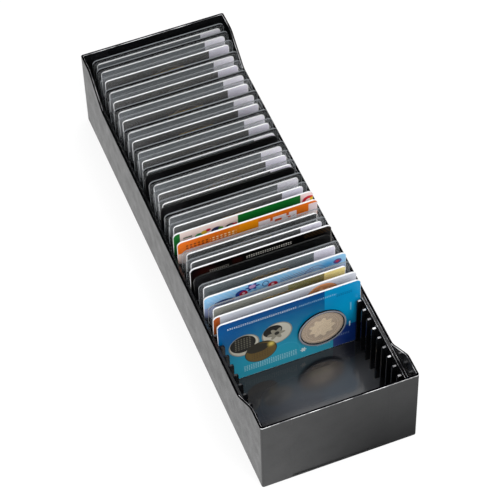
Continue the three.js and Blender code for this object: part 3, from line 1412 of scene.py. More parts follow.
@dataclass
class BarCards:
    """The clear cases with a printed card and a small flat bar in each.

    The notch in a case's foot is cut a hair thinner than the pocket, which it meets, so that no
    faces of the two cutters coincide.
    """

    case_width: float = 84.4
    case_height: float = 57.0
    case_thickness: float = 2.0
    case_corner: float = 3.2
    margin: float = 2.5
    top_margin: float = 2.9
    insert_corner: float = 2.4
    insert_thickness: float = 0.7
    fit: float = 0.2
    pocket: float = 1.3
    notch: float = 12.0
    notch_corner: float = 0.4
    notch_share: float = 0.999
    overrun: float = 1.0
    bar_width: float = 24.0
    bar_height: float = 39.0
    bar_corner: float = 2.5
    bar_rim: float = 1.2
    bar_field: float = 5.0
    bar_step: float = 0.15
    bar_sink: float = 0.12
    bar_rise: float = 0.08
    proud: float = 0.2
    arris: float = 0.25
    strip: float = 0.85
    back_frame: float = 4.0
    white_edge: float = 0.3
    flat_share: float = 0.95
    count: int = 21
    turned: tuple[int, ...] = (1, 2, 4, 6, 8, 10, 12, 13, 16)
    special: dict[int, BarPrint] = field(
        default_factory=lambda: {
            18: BarPrint.BLACK,
            19: BarPrint.CHARCOAL,
            20: BarPrint.SLATE,
            21: BarPrint.OLIVE,
        }
    )

    def case(self) -> bpy.types.Object:
        """Model the clear case: a slab with a pocket, and a notch in its foot to push the card out.

        Returns:
            The case in its flat position.
        """
        case = plate(
            "case", self.case_width, self.case_height, self.case_thickness, self.case_corner
        )
        pocket = plate(
            "pocket",
            self.case_width - 2 * self.margin + 2 * self.fit,
            self.case_height - 2 * self.top_margin + 2 * self.fit,
            self.pocket,
            self.insert_corner + self.fit,
            self.top_margin - self.fit,
        )
        notch = plate(
            "notch",
            self.notch,
            self.top_margin + 2 * self.overrun,
            self.pocket * self.notch_share,
            self.notch_corner,
            -self.overrun,
        )
        half = self.case_thickness / 2
        edit(case, faces=True)
        select_parts(case, faces=lambda f: f.normal.y > FACING)
        bpy.ops.mesh.inset(thickness=self.back_frame * MM, depth=0)
        bpy.ops.mesh.select_all(action="SELECT")
        bpy.ops.mesh.bisect(plane_co=(0, (half - self.strip) * MM, 0), plane_no=(0, 1, 0))
        close_edit()
        cut(case, pocket, notch)
        soften(case, width=self.arris, segments=1, angle=50)
        dress(
            case,
            *[ClearStyrene(zone).material() for zone in CaseZone],
            pick=lambda middle, normal: slot_of(self.zone(middle, normal)),
        )
        return case

    def zone(self, middle: Vector, normal: Vector) -> CaseZone:
        """Tell how a face of the clear case looks.

        Args:
            middle: the face's middle in millimetres, in the case's flat position.
            normal: its normal.

        Returns:
            The window over the card, the band round the back with its painted highlight, or the
            rim.
        """
        if normal.y < -self.flat_share:
            return CaseZone.WINDOW
        half = self.case_thickness / 2
        wide = self.case_width / 2 - self.margin + self.fit + NEAR
        low = self.top_margin - self.fit - NEAR
        if abs(middle.x) < wide and low < middle.z < self.case_height - low:
            beside = abs(middle.x) > self.case_width / 2 - self.back_frame
            over = abs(middle.z - self.case_height / 2) > self.case_height / 2 - self.back_frame
            is_back = middle.y > half - NEAR
            return CaseZone.RIM if (beside or over) and is_back else CaseZone.WINDOW
        # the band along the back arris gets the painted highlight
        on_arris = middle.y > half - self.strip and normal.y < self.flat_share
        return CaseZone.PAINTED_HIGHLIGHT_ARRIS if on_arris else CaseZone.RIM

    def insert(self) -> bpy.types.Object:
        """Model the printed card: a board with round corners.

        Returns:
            The card in its flat position.
        """
        insert = plate(
            "insert",
            self.case_width - 2 * self.margin,
            self.case_height - 2 * self.top_margin,
            self.insert_thickness,
            self.insert_corner,
            self.top_margin,
        )
        lay_print(insert)
        return insert

    def bar(self) -> bpy.types.Object:
        """Model the small bar: a slab with a raised rim round a sunk field and a pressed panel.

        Returns:
            The bar in its flat position.
        """
        depth = self.proud + NEAR
        bar = plate(
            "bar",
            self.bar_width,
            self.bar_height,
            depth,
            self.bar_corner,
            (self.case_height - self.bar_height) / 2,
        )
        edit(bar, faces=True)
        select_parts(bar, faces=lambda f: f.normal.y < -FACING)
        bpy.ops.mesh.inset(thickness=self.bar_rim * MM, depth=0)
        bpy.ops.mesh.inset(thickness=self.bar_step * MM, depth=-self.bar_sink * MM)
        bpy.ops.mesh.inset(thickness=self.bar_field * MM, depth=0)
        bpy.ops.mesh.inset(thickness=self.bar_step * MM, depth=self.bar_rise * MM)
        close_edit()
        bar.location.y = -(self.insert_thickness / 2 + self.proud - depth / 2) * MM
        apply_place(bar)
        lay_print(bar)
        return bar

    def sheet(self) -> dict[str, float | str]:
        """Put together the size, place and white edge that all prints of the inserts share.

        Returns:
            The fields of a printed face by name.
        """
        return {
            "width": self.case_width - 2 * self.margin,
            "height": self.case_height - 2 * self.top_margin,
            "foot": self.top_margin,
            "border": "#f8f8fa",
            "edge": self.white_edge,
        }

    def faces(self) -> dict[BarPrint, PrintedFace]:
        """Write out the prints of the inserts' fronts.

        Returns:
            The printed face of each kind.
        """
        size = self.sheet()
        label = Mark(Shape.BLOCK, 33.3, 28, 13.2, 60, "#dedae8")
        label_lines = Mark(Shape.LINES, 33.3, 20, 9, 22, "#a8a9b6", 2.6)
        side = Mark(Shape.LINES, -27, 24, 16, 24, "#8d8c86", 3.0, 0.7)
        outline = Mark(Shape.RING, 0, 28, 34, 46, "#77756f", 0.6, 0.8)
        marks = (outline, side, label, label_lines)
        return {
            BarPrint.PLAIN: PrintedFace("brown_front", "#3f3d3b", "#464442", marks, **size),
            BarPrint.BLACK: PrintedFace("black_front", "#040405", "#09090a", marks[:2], **size),
            BarPrint.CHARCOAL: PrintedFace("charcoal_front", "#1d1d1e", "#2b2b2b", marks, **size),
            BarPrint.SLATE: PrintedFace("slate_front", "#465054", "#525c60", marks, **size),
            BarPrint.OLIVE: PrintedFace(
                "olive_front",
                "#7d7b72",
                "#8b8a7f",
                (
                    side,
                    Mark(Shape.BLOCK, 17, 28, 24, 60, "#6e6602"),
                    Mark(Shape.BLOCK, 33.3, 28, 13.2, 60, "#f0dc88"),
                ),
                **size,
            ),
        }

    def back_face(self) -> PrintedFace:
        """Write out the print of the inserts' backs.

        Returns:
            The printed face of all the backs.
        """
        return PrintedFace(
            "blue_grey",
            "#6a6d70",
            "#54595c",
            (
                Mark(Shape.BLOCK, 0, 24, 90, 54, "#6c6f72"),
                Mark(Shape.LINES, 8, 26, 44, 18, "#8a9094", 3.0, 0.8),
                Mark(Shape.BLOCK, 8, 10, 44, 5, "#7b8286"),
                Mark(Shape.BLOCK, -33.3, 28, 13.2, 60, "#e9e6f0"),
                Mark(Shape.LINES, -33.3, 20, 9, 20, "#a8a9b6", 2.6),
            ),
            **self.sheet(),
        )

    def build(self) -> None:
        """Stand all the cased cards in their slots."""
        case, insert, bar = self.case(), self.insert(), self.bar()
        core = BoardCore().material()
        gold = GoldLeaf().material()
        back = self.back_face().material()
        fronts = {kind: face.material() for kind, face in self.faces().items()}
        for number in range(1, self.count + 1):
            label = f"{number:02d}"
            body = f"bar_{label}"
            place = stand_of(f"bar_case_{label}")
            is_turned = number in self.turned
            shift = Matrix.Translation((0, (-1 if is_turned else 1) * self.proud / 2 * MM, 0))
            inside = place @ shift @ Matrix.Rotation(math.pi if is_turned else 0, 4, "Z")
            clear_case = twin(case, f"clear_case_{label}", place)
            # turned cards' cases get the painted shade on their rims
            if is_turned:
                self.paint_rim_shade(clear_case)
            set_down(clear_case, body, "clear_plastic", f"bar_case_{label}")
            front = fronts[self.special.get(number, BarPrint.PLAIN)]
            printed = twin(insert, f"printed_insert_{label}", inside)
            dress_board(printed, inside, (front, back, core))
            set_down(printed, body, "bar_card_print", f"bar_card_{label}")
            small = twin(bar, f"small_bar_{label}", inside)
            dress(small, gold)
            set_down(small, body, "bar_card_print")
        drop(case, insert, bar)

    @staticmethod
    def paint_rim_shade(case: bpy.types.Object) -> None:
        """Give a turned card's case the painted shade on its rim, near black.

        Args:
            case: the case, dressed as all the others.
        """
        for polygon in case.data.polygons:
            # rim faces get the near-black painted shade
            if polygon.material_index == slot_of(CaseZone.RIM):
                polygon.material_index = slot_of(CaseZone.PAINTED_SHADE_RIM)


@dataclass(frozen=True)
class CoinSize:
    """Sizes of a struck coin in millimetres."""

    radius: float
    thickness: float
    rim: float
    relief: float
    slope: float = 0.2
    arris: float = 0.12


@dataclass(frozen=True)
class CapsuleSize:
    """Sizes of the coin capsule in millimetres."""

    flange: float = 14.6
    wall: float = 0.7
    proud: float = 1.4
    lens: float = 0.5
    lip: float = 0.4
    catch: float = 0.5
    play: float = 0.2
    bead: float = 1.1
    slope: float = 0.5
    sink: float = 0.2
    arris: float = 0.15


@dataclass
class CoinCards:
    """The six coin cards, each a printed board with a coin in its window."""

    card_width: float = 85.6
    card_height: float = 54.0
    card_corner: float = 3.2
    board: float = 1.0
    board_arris: float = 0.1
    gap: float = 0.3
    large: CoinSize = CoinSize(12.875, 2.2, 1.6, 0.25)
    small: CoinSize = CoinSize(9.375, 1.7, 1.0, 0.2)
    cup: CapsuleSize = CapsuleSize()
    front_share: float = 0.3
    small_coin_on: str = "pale"
    capsule_on: str = "blue"

    def prints(self) -> dict[str, PrintedFace]:
        """Write out the fronts of the six cards, all of them plain generic layouts.

        Returns:
            The printed face of each card by the card's name.
        """
        white = "#fbfbfc"
        return {
            "green": PrintedFace(
                "green",
                "#014f1c",
                "#02661f",
                (
                    Mark(Shape.BLOCK, -21.2, 46, 35.3, 22, "#e3cfc9"),
                    Mark(Shape.BLOCK, -34.2, 48.4, 5.4, 1.1, "#1f4a2c"),
                    Mark(Shape.BLOCK, -34.2, 46.2, 5.4, 1.2, "#9a1c34"),
                    Mark(Shape.DISC, -27.4, 46.4, 5, 4.4, "#2b8a4a"),
                    Mark(Shape.DISC, -24, 48, 4, 3.4, "#d9b020"),
                    Mark(Shape.DISC, -21.6, 49, 3, 2.6, "#c62a2c"),
                    Mark(Shape.DISC, -16.6, 47, 6.4, 5, "#1d2450"),
                    Mark(Shape.DISC, -14, 47, 3, 3, "#5fa02c"),
                    Mark(Shape.RING, -8, 45.4, 7.4, 6.4, "#2c1c24", 1.8),
                    Mark(Shape.DISC, -5.4, 47, 3, 2.2, "#c22434"),
                    Mark(Shape.BLOCK, 39.4, 46, 8.8, 22, "#e8cccc"),
                    Mark(Shape.RING, 40.2, 46.4, 8.4, 9, "#c9182c", 2.2),
                    Mark(Shape.DISC, 42, 47.6, 2.6, 3, "#e2b81c"),
                ),
                border="#cfe0cf",
            ),
            "orange": PrintedFace(
                "orange",
                "#d05e0c",
                "#dc6c10",
                (
                    Mark(Shape.BLOCK, 0.6, 49, 11.6, 11, "#e68a02"),
                    Mark(Shape.GLOW, -8, 49, 16, 14, "#e08a08", strength=0.7),
                    Mark(Shape.BLOCK, 18.2, 47, 23.4, 6.6, "#e2d8dc"),
                    Mark(Shape.BLOCK, 14.5, 49, 1.6, 3, "#cf5a18"),
                    Mark(Shape.BLOCK, 18.6, 46.4, 4.2, 3, "#cf4e12"),
                    Mark(Shape.BLOCK, 24.4, 49.4, 1.6, 2.6, "#cf5a18"),
                    Mark(Shape.BLOCK, 25.4, 45.6, 1.8, 2.6, "#cf4e12"),
                    Mark(Shape.BLOCK, 40.6, 47.5, 6.6, 9, "#d9c8cc"),
                    Mark(Shape.BLOCK, 0, 20, 85, 48, "#dccfcb"),
                    Mark(Shape.DOTS, -31, 48.4, 15, 3, "#5a2410", 2.4),
                    Mark(Shape.DOTS, -15, 48.4, 16, 3, "#f3dcb8", 2.4),
                    Mark(Shape.DOTS, -22, 45.4, 28, 1.2, "#ecd2ba", 1.0),
                ),
                border="#f3e3d4",
            ),
            "black": PrintedFace(
                "black",
                "#050506",
                "#070607",
                (
                    Mark(Shape.GLOW, -34, 47, 20, 16, "#3c120c", strength=0.8),
                    Mark(Shape.SLANT, 34, 51, 16, 4, "#4c3822", 1.6, 0.5),
                    Mark(Shape.DOTS, -25.5, 48, 12, 2.4, "#e2ded6", 1.2, 0.9),
                    Mark(Shape.BLOCK, -14.6, 49, 6, 5, "#2c0f0b"),
                    Mark(Shape.DOTS, 4.7, 49.6, 28.6, 2.8, "#f0ece4", 1.4, 0.9),
                    Mark(Shape.BLOCK, 2, 47, 52, 0.4, "#8a867e", strength=0.8),
                ),
                border="#d9d4cb",
            ),
            "sky": PrintedFace(
                "sky",
                "#98a2c6",
                "#8cc2e6",
                (
                    Mark(Shape.BLOCK, 0, 22, 85, 44, "#9aa4c8"),
                    Mark(Shape.GLOW, -8, 50, 60, 14, "#74bdea", strength=0.8),
                    Mark(Shape.SLANT, -3, 50, 76, 8, "#a9c8e0", 2.2, 0.45),
                    Mark(Shape.DISC, -30.8, 44.8, 12.6, 5.4, "#142c62"),
                    Mark(Shape.DOTS, -31, 45.2, 9, 2.4, "#6f8fc8", 1.2, 0.8),
                    Mark(Shape.DISC, -25.2, 45.2, 3, 1.6, "#b82c36"),
                    Mark(Shape.DISC, -20.6, 47.6, 7, 6.4, "#1c3a88"),
                    Mark(Shape.DISC, -19.2, 47, 5, 4.6, "#b0182e"),
                    Mark(Shape.DISC, -19.2, 47.2, 1.8, 1.6, "#e3b8c4"),
                    Mark(Shape.ROSETTE, -13.9, 50.6, 9, 6.4, "#22348a"),
                    Mark(Shape.DISC, -13.9, 50.8, 4, 3.2, "#c9a2cc"),
                    Mark(Shape.DISC, -1.6, 46.8, 6, 4.8, "#b81a30"),
                    Mark(Shape.DISC, -1.6, 47, 2, 1.7, "#ecc4c8"),
                    Mark(Shape.RING, -6, 49.6, 4, 5, "#31508f", 0.5),
                    Mark(Shape.SLANT, 13, 46.4, 20, 7.4, "#7f88a8", 1.3, 0.75),
                    Mark(Shape.RING, 24, 44, 14, 14, "#7f8cb4", 0.8),
                    Mark(Shape.RING, 24, 44, 9, 9, "#8f9cc0", 0.8),
                    Mark(Shape.GLOW, 32, 49, 16, 10, "#3fa0dc", strength=0.9),
                    Mark(Shape.DISC, 37.6, 48.6, 5, 4.4, "#5a4f8e"),
                    Mark(Shape.DISC, 37.6, 48.6, 2.4, 2.2, "#b03a52"),
                ),
                border=white,
            ),
            "pale": PrintedFace(
                "pale",
                "#bdc0ca",
                "#c6c9d2",
                (
                    Mark(Shape.BLOCK, -41, 46, 4.4, 16, "#a24c16"),
                    Mark(Shape.DOTS, -10, 46.6, 51, 1.3, "#262426", 1.5, 0.9),
                    Mark(Shape.SLANT, 17, 47, 4, 3, "#9a5a44", 1.0, 0.7),
                ),
                border="#f2f3f6",
            ),
            "blue": PrintedFace(
                "blue",
                "#02a0c0",
                "#013f80",
                (
                    Mark(Shape.GLOW, -12, 0, 120, 66, "#00a8c6", strength=1.0),
                    Mark(Shape.GLOW, -36, 40, 40, 44, "#014c8e", strength=0.7),
                    Mark(Shape.BLOCK, 32, 36, 22, 38, "#0488bc"),
                    Mark(Shape.GLOW, 34, 30, 30, 34, "#04a0d4", strength=0.8),
                    Mark(Shape.BLOCK, 35, 7, 18, 20, "#103480"),
                    Mark(Shape.GLOW, 30, 18, 26, 12, "#0c3c84", strength=0.6),
                    Mark(Shape.RING, -3, 10, 18, 18, "#2ba6c4", 0.8, 0.5),
                    Mark(Shape.RING, -39, 3, 12, 12, "#2ba6c4", 0.9, 0.6),
                    Mark(Shape.DOTS, -16.5, 48, 41.6, 1.3, "#f2f8fc", 1.3, 1.0),
                    Mark(Shape.DOTS, 16.5, 48, 23, 1.1, "#b4d8ec", 1.1, 0.9),
                    Mark(Shape.LINES, -8, 45.4, 52, 1.2, "#053c70", 0.8, 0.6),
                    Mark(Shape.DOTS, 32.8, 46.4, 9.6, 2.6, "#08426e", 1.2, 0.9),
                    Mark(Shape.DOTS, -12.4, 7.4, 33, 4.6, "#b8e8f0", 1.35, 0.9),
                    Mark(Shape.ROSETTE, 7.7, 7.2, 3.8, 4.2, "#dcf0f2"),
                    Mark(Shape.DOTS, 31.8, 9.6, 9, 1.2, "#a9bcde", 1.1, 0.9),
                    Mark(Shape.DOTS, 20, 6.4, 8, 1.4, "#b4dfe8", 1.1, 0.8),
                    Mark(Shape.BLOCK, 36.8, 33, 0.7, 7, "#8ccbe2", strength=0.7),
                    Mark(Shape.BLOCK, 36.2, 17.4, 0.8, 4.6, "#dfeef4"),
                    Mark(Shape.DISC, -27.7, 29.3, 18.4, 18.4, "#8f8c80"),
                    Mark(Shape.DISC, -27.7, 29.3, 17, 17, "#c9c5b6"),
                    Mark(Shape.DISC, -28.4, 30.6, 15.4, 14.4, "#15130d"),
                    Mark(Shape.DOTS, -28.4, 31, 11, 10, "#716e60", 1.7, 0.9),
                    Mark(Shape.DISC, -7.9, 30.7, 18.4, 18.4, "#8f8c80"),
                    Mark(Shape.DISC, -7.9, 30.7, 17, 17, "#c4c0b2"),
                    Mark(Shape.DISC, -10.4, 33.6, 11.4, 9.6, "#12110c"),
                    Mark(Shape.ROSETTE, -8.4, 30.4, 11, 10, "#8d897a"),
                    Mark(Shape.DISC, -8, 30.6, 3, 3, "#191710"),
                    Mark(Shape.DISC, -17.9, 18.9, 19.4, 17.6, "#2e2710"),
                    Mark(Shape.DISC, -17.9, 18.5, 18.2, 16, "#6a531f"),
                    Mark(Shape.DISC, -19.6, 22.6, 13.4, 7.6, "#221d0d"),
                    Mark(Shape.DOTS, -17.9, 16.6, 11, 6, "#463614", 1.6, 0.8),
                    Mark(Shape.GLOW, -11.6, 22.8, 6.4, 6.4, "#e6cf62"),
                ),
                border=white,
            ),
        }

    def back_print(self) -> PrintedFace:
        """Write out the plain backs of the coin cards.

        Returns:
            The printed face of all the backs.
        """
        return PrintedFace(
            "coin_card_back",
            "#c9ccd2",
            "#d6d8dd",
            (
                Mark(Shape.LINES, 14, 30, 44, 26, "#8a8f98", 2.6, 0.8),
                Mark(Shape.BLOCK, 14, 48, 44, 3, "#5d646e"),
            ),
        )

    def coin(self, size: CoinSize) -> bpy.types.Object:
        """Model a struck coin with a raised rim round a sunk field on both faces.

        Args:
            size: the coin's sizes.

        Returns:
            The coin, centred on the origin.
        """
        coin = disc("coin", size.radius, size.thickness)
        edit(coin, faces=True)
        for side in (-1, 1):
            select_parts(coin, faces=lambda f, s=side: f.normal.y * s > FACING)
            bpy.ops.mesh.inset(thickness=(size.rim - size.slope) * MM, depth=0)
            bpy.ops.mesh.inset(thickness=size.slope * MM, depth=-size.relief * MM)
        close_edit()
        soften(coin, width=size.arris, segments=2, angle=50)
        lay_print(coin)
        return coin

    def capsule(self) -> bpy.types.Object:
        """Model the capsule: a flanged clear cup whose hub goes through the window, open behind.

        Returns:
            The capsule, centred on the coin's axis with y = 0 in the middle of the board.
        """
        cup = self.cup
        bore = self.large.radius + self.gap
        hub = bore + cup.wall
        front = -self.board / 2 - cup.proud
        flange_back = -self.board / 2 - cup.play
        lip_front = front + cup.lens + 2 * cup.play + self.large.thickness
        capsule = disc("capsule", cup.flange, flange_back - front)
        capsule.location.y = (flange_back + front) / 2 * MM
        apply_place(capsule)
        edit(capsule, faces=True)
        select_parts(capsule, faces=lambda f: f.normal.y > FACING)
        bpy.ops.mesh.inset(thickness=(cup.flange - hub) * MM, depth=0)
        self.push(lip_front + cup.lip - flange_back)
        bpy.ops.mesh.inset(thickness=(hub - bore + cup.catch) * MM, depth=0)
        self.push(-cup.lip)
        bpy.ops.mesh.extrude_region_move()
        wider = bore / (bore - cup.catch)
        bpy.ops.transform.resize(value=(wider, 1, wider))
        self.push(front + cup.lens - lip_front)
        before = (front + 2 * NEAR) * MM
        select_parts(
            capsule,
            faces=lambda f: f.normal.y < -FACING and f.calc_center_median().y < before,
        )
        bpy.ops.mesh.inset(thickness=cup.bead * MM, depth=0)
        bpy.ops.mesh.inset(thickness=cup.slope * MM, depth=-cup.sink * MM)
        close_edit()
        soften(capsule, width=cup.arris, segments=3, angle=50)
        dress(
            capsule,
            *[ClearAcrylic(zone).material() for zone in CapsuleZone],
            pick=lambda middle, normal: slot_of(self.capsule_zone(middle, normal)),
        )
        return capsule

    def capsule_zone(self, middle: Vector, normal: Vector) -> CapsuleZone:
        """Tell how a face of the capsule looks.

        Args:
            middle: the face's middle in millimetres, in the capsule's flat position.
            normal: its normal.

        Returns:
            The window over the coin, the flange front with its painted reflection, or the edge with
            painted shade.
        """
        reach = math.hypot(middle.x, middle.z)
        if reach < self.cup.flange - self.cup.bead - self.cup.slope - NEAR:
            return CapsuleZone.WINDOW
        is_front = normal.y < -self.front_share
        on_flange = is_front and reach > self.cup.flange - self.cup.bead
        return CapsuleZone.PAINTED_REFLECTION_FLANGE if on_flange else CapsuleZone.EDGE

    @staticmethod
    def push(length: float) -> None:
        """Extrude the selected face straight back by a length in millimetres."""
        bpy.ops.mesh.extrude_region_move(TRANSFORM_OT_translate={"value": (0, length * MM, 0)})

    def card(self, centre: Vector, radius: float) -> bpy.types.Object:
        """Model a coin card: a board with round corners and a round window.

        Args:
            centre: the middle of the window in metres, in the card's flat position.
            radius: the window's radius in millimetres.

        Returns:
            The board in its flat position.
        """
        board = plate("board", self.card_width, self.card_height, self.board, self.card_corner)
        window = disc("window", radius, 4 * self.board)
        window.location = (centre.x, 0, centre.z)
        apply_place(window)
        cut(board, window)
        soften(board, width=self.board_arris, segments=2, angle=60)
        lay_print(board)
        return board

    def build(self) -> None:
        """Stand the coin cards in their slots, with their coins and the front card's capsule."""
        large, small = self.coin(self.large), self.coin(self.small)
        silver = StruckMetal("struck_silver", "#f4dcb8", "#cbb297", self.large.radius).material()
        copper = StruckMetal("struck_copper", "#fbc8a0", "#d08c5c", self.small.radius, 7).material()
        core = BoardCore("white_laminate_edge", "#bfc1c6").material()
        back = self.back_print().material()
        for name, face in self.prints().items():
            place = stand_of(f"coin_card_{name}")
            is_small = name == self.small_coin_on
            in_capsule = name == self.capsule_on
            size = self.small if is_small else self.large
            low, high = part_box(f"coin_{name}")
            centre = place.inverted() @ ((low + high) / 2)
            hub = self.cup.wall + self.gap if in_capsule else 0
            body = f"coin_piece_{name}"
            flat = self.card(centre, size.radius + self.gap + hub)
            board = twin(flat, f"coin_board_{name}", place)
            drop(flat)
            dress_board(board, place, (face.material(), back, core))
            set_down(board, body, f"{name}_print", f"coin_card_{name}")
            middle = place @ Matrix.Translation(centre)
            coin = twin(small if is_small else large, f"struck_coin_{name}", middle)
            dress(coin, copper if is_small else silver)
            set_down(coin, body, "copper_coin" if is_small else "silver_coin", f"coin_{name}")
            if in_capsule:
                self.add_capsule(place @ Matrix.Translation((centre.x, 0, centre.z)), body)
        drop(large, small)

    def add_capsule(self, place: Matrix, body: str) -> None:
        """Put the capsule over the front card's coin.

        Args:
            place: from the coin's axis in the middle of the board to where it stands.
            body: the card's moving body.
        """
        flat = self.capsule()
        capsule = twin(flat, "clear_capsule", place)
        drop(flat)
        set_down(capsule, body, "clear_plastic", "coin_capsule")


@dataclass
class Dividers:
    """The three plain dividers."""

    width: float = 83.0
    height: float = 53.7
    thickness: float = 0.9
    corner: float = 4.5
    arris: float = 0.2
    count: int = 3

    def build(self) -> None:
        """Model one divider with rounded arrises and stand a copy of it at each place."""
        sheet = plate("divider", self.width, self.height, self.thickness, self.corner)
        soften(sheet, width=self.arris, segments=3, angle=60)
        black = DividerSheet().material()
        for number in range(1, self.count + 1):
            place = stand_of(f"divider_{number}")
            divider = twin(sheet, f"divider_sheet_{number}", place)
            dress(divider, black)
            set_down(divider, f"divider_body_{number}", "divider_plastic", f"divider_{number}")
        drop(sheet)


# The studio: table, light and camera


@dataclass(frozen=True)
class Lamp:
    """A soft area lamp, placed by its direction from the box and its distance."""

    name: str
    direction: tuple[float, float, float]
    distance: float
    size: float
    watts: float


@dataclass
class Studio:
    """White table, even light and the camera of the photograph."""

    azimuth: float = -19.966
    elevation: float = 51.761
    roll: float = -2.074
    distance: float = 1329.358
    target: tuple[float, float, float] = (3.713, -3.24, 18.362)
    lens: float = 164.24
    sensor: float = 36.0
    sight: float = 20.0
    world_light: float = 0.95
    ceiling: float = 0.13
    table_size: float = 6.0
    table_drop: float = 0.05
    table_grey: float = 0.8
    table_shadow: float = 0.2
    table_glow: float = 0.8
    mirror_glow: float = 1.12
    shade_across: tuple[float, float] = (-50.0, 30.0)
    shade_along: tuple[float, float] = (-200.0, -146.0)
    shade_depth: float = 0.8
    lamps: tuple[Lamp, ...] = (
        Lamp("front_softbox", (0.1, -0.72, 0.74), 1.7, 1.1, 13.0),
        Lamp("coin_softbox", (0.21, -0.58, 0.785), 1.5, 0.3, 2.0),
        Lamp("left_softbox", (-0.75, -0.1, 0.8), 1.7, 0.8, 4.0),
        Lamp("floor_panel", (0.42, 0.42, 0.805), 1.5, 0.6, 1.6),
    )

    def build(self) -> None:
        """Set up the table, the world, the lamps and the camera."""
        self.table()
        self.world()
        for lamp in self.lamps:
            self.lamp(lamp)
        self.camera()
        bpy.context.scene.view_settings.view_transform = "Standard"
        log.info("studio is set")

    def shade(self, tree: Tree) -> Socket:
        """Give how bright the table is to a mirror, with a painted shade at the front right.

        Args:
            tree: the table's node tree.

        Returns:
            The socket that carries the brightness.
        """
        place = add_node(tree, "ShaderNodeTexCoord")
        split = add_node(tree, "ShaderNodeSeparateXYZ", links={0: place.outputs["Object"]})
        start, end = (reach * MM for reach in self.shade_across)
        across = add_node(
            tree,
            "ShaderNodeMapRange",
            {"From Min": start, "From Max": end},
            {"Value": split.outputs[0]},
            interpolation_type="SMOOTHSTEP",
        )
        start, end = (reach * MM for reach in self.shade_along)
        along = add_node(
            tree,
            "ShaderNodeMapRange",
            {"From Min": start, "From Max": end, "To Max": self.shade_depth},
            {"Value": split.outputs[1]},
        )
        dark = add_node(
            tree,
            "ShaderNodeMath",
            links={0: across.outputs[0], 1: along.outputs[0]},
            operation="MULTIPLY",
        )
        return add_node(
            tree, "ShaderNodeMath", {0: 1.0}, {1: dark.outputs[0]}, operation="SUBTRACT"
        ).outputs[0]

    def table(self) -> None:
        """Lay the white table top that keeps the box's shadow."""
        bpy.ops.object.select_all(action="DESELECT")
        bpy.ops.mesh.primitive_plane_add(
            size=self.table_size, location=(0, 0, -self.table_drop * MM)
        )
        table = bpy.context.object
        table.name = "table_top"
        apply_place(table)
        material = bpy.data.materials.new("white_table_laminate")
        material.use_nodes = True
        tree = material.node_tree
        tree.nodes.clear()
        path = add_node(tree, "ShaderNodeLightPath")
        shown = add_node(
            tree,
            "ShaderNodeMath",
            links={0: path.outputs["Is Camera Ray"], 1: path.outputs["Is Transmission Ray"]},
            operation="MAXIMUM",
        )
        plain, soft = (
            add_node(tree, "ShaderNodeBsdfDiffuse", {"Color": (grey, grey, grey, 1)})
            for grey in (self.table_grey, self.table_shadow)
        )
        light = add_node(
            tree, "ShaderNodeEmission", {"Color": (1, 1, 1, 1), "Strength": self.table_glow}
        )
        both = add_node(
            tree, "ShaderNodeAddShader", links={0: soft.outputs[0], 1: light.outputs[0]}
        )
        # the painted shade darkens what mirrors show of the table
        level = add_node(
            tree,
            "ShaderNodeMath",
            {1: self.mirror_glow},
            {0: self.shade(tree)},
            operation="MULTIPLY",
        )
        mirrored = add_node(
            tree, "ShaderNodeEmission", {"Color": (1, 1, 1, 1)}, {"Strength": level.outputs[0]}
        )
        lit = add_node(
            tree,
            "ShaderNodeMixShader",
            links={0: shown.outputs[0], 1: plain.outputs[0], 2: both.outputs[0]},
        )
        mixed = add_node(
            tree,
            "ShaderNodeMixShader",
            links={0: path.outputs["Is Glossy Ray"], 1: lit.outputs[0], 2: mirrored.outputs[0]},
        )
        add_node(tree, "ShaderNodeOutputMaterial", links={"Surface": mixed.outputs[0]})
        table.data.materials.append(material)

    def world(self) -> None:
        """Make the even white surroundings, which light the box less than they show."""
        world = bpy.data.worlds.new("white_room")
        world.use_nodes = True
        tree = world.node_tree
        tree.nodes.clear()
        path = add_node(tree, "ShaderNodeLightPath")
        mirrored = add_node(
            tree,
            "ShaderNodeMapRange",
            {"To Min": self.world_light, "To Max": self.ceiling},
            {"Value": path.outputs["Is Glossy Ray"]},
        )
        strength = add_node(
            tree,
            "ShaderNodeMapRange",
            {"To Max": 1.0},
            {"Value": path.outputs["Is Camera Ray"], "To Min": mirrored.outputs[0]},
        )
        back = add_node(
            tree,
            "ShaderNodeBackground",
            {"Color": (1, 1, 1, 1)},
            {"Strength": strength.outputs[0]},
        )
        add_node(tree, "ShaderNodeOutputWorld", links={"Surface": back.outputs[0]})
        bpy.context.scene.world = world

    @staticmethod
    def lamp(lamp: Lamp) -> None:
        """Hang one area lamp, turned to the box.

        Args:
            lamp: where it hangs, and its size and power.
        """
        towards = Vector(lamp.direction).normalized()
        bpy.ops.object.select_all(action="DESELECT")
        bpy.ops.object.light_add(type="AREA", location=towards * lamp.distance)
        obj = bpy.context.object
        obj.name = lamp.name
        obj.data.shape = "SQUARE"
        obj.data.size = lamp.size
        obj.data.energy = lamp.watts
        obj.rotation_euler = towards.to_track_quat("Z", "Y").to_euler()

    def camera(self) -> None:
        """Set the camera at the photograph's angle, roll and lens."""
        turn, rise, roll = (math.radians(v) for v in (self.azimuth, self.elevation, self.roll))
        back = Vector(
            (math.sin(turn) * math.cos(rise), -math.cos(turn) * math.cos(rise), math.sin(rise))
        )
        level = (-back).cross(Vector((0, 0, 1))).normalized()
        upright = level.cross(-back)
        right = level * math.cos(roll) + upright * math.sin(roll)
        up = upright * math.cos(roll) - level * math.sin(roll)
        place = Matrix((right, up, back)).transposed().to_4x4()
        place.translation = (Vector(self.target) + back * self.distance) * MM
        bpy.ops.object.camera_add()
        camera = bpy.context.object
        camera.name = "photo_camera"
        camera.matrix_world = place
        camera.data.lens = self.lens
        camera.data.sensor_width = self.sensor
        camera.data.sensor_fit = "HORIZONTAL"
        camera.data.clip_end = self.sight
        bpy.context.scene.camera = camera


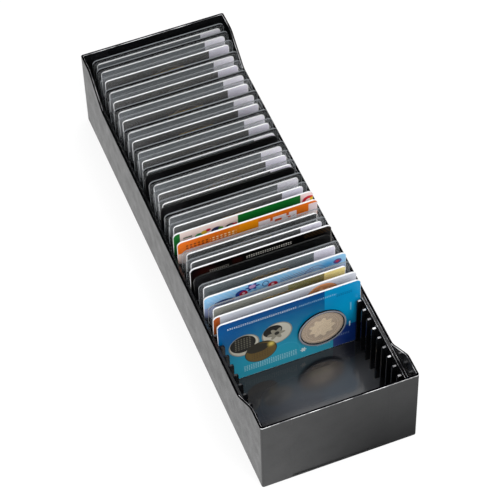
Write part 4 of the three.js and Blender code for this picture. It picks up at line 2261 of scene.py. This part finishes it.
def main() -> None:
    """Build the pieces in order, then the studio."""
    logging.basicConfig(level=logging.INFO, format="%(name)s: %(message)s", stream=sys.stdout)
    Tub().build()
    BarCards().build()
    CoinCards().build()
    Dividers().build()
    Studio().build()


if __name__ == "__main__":
    main()
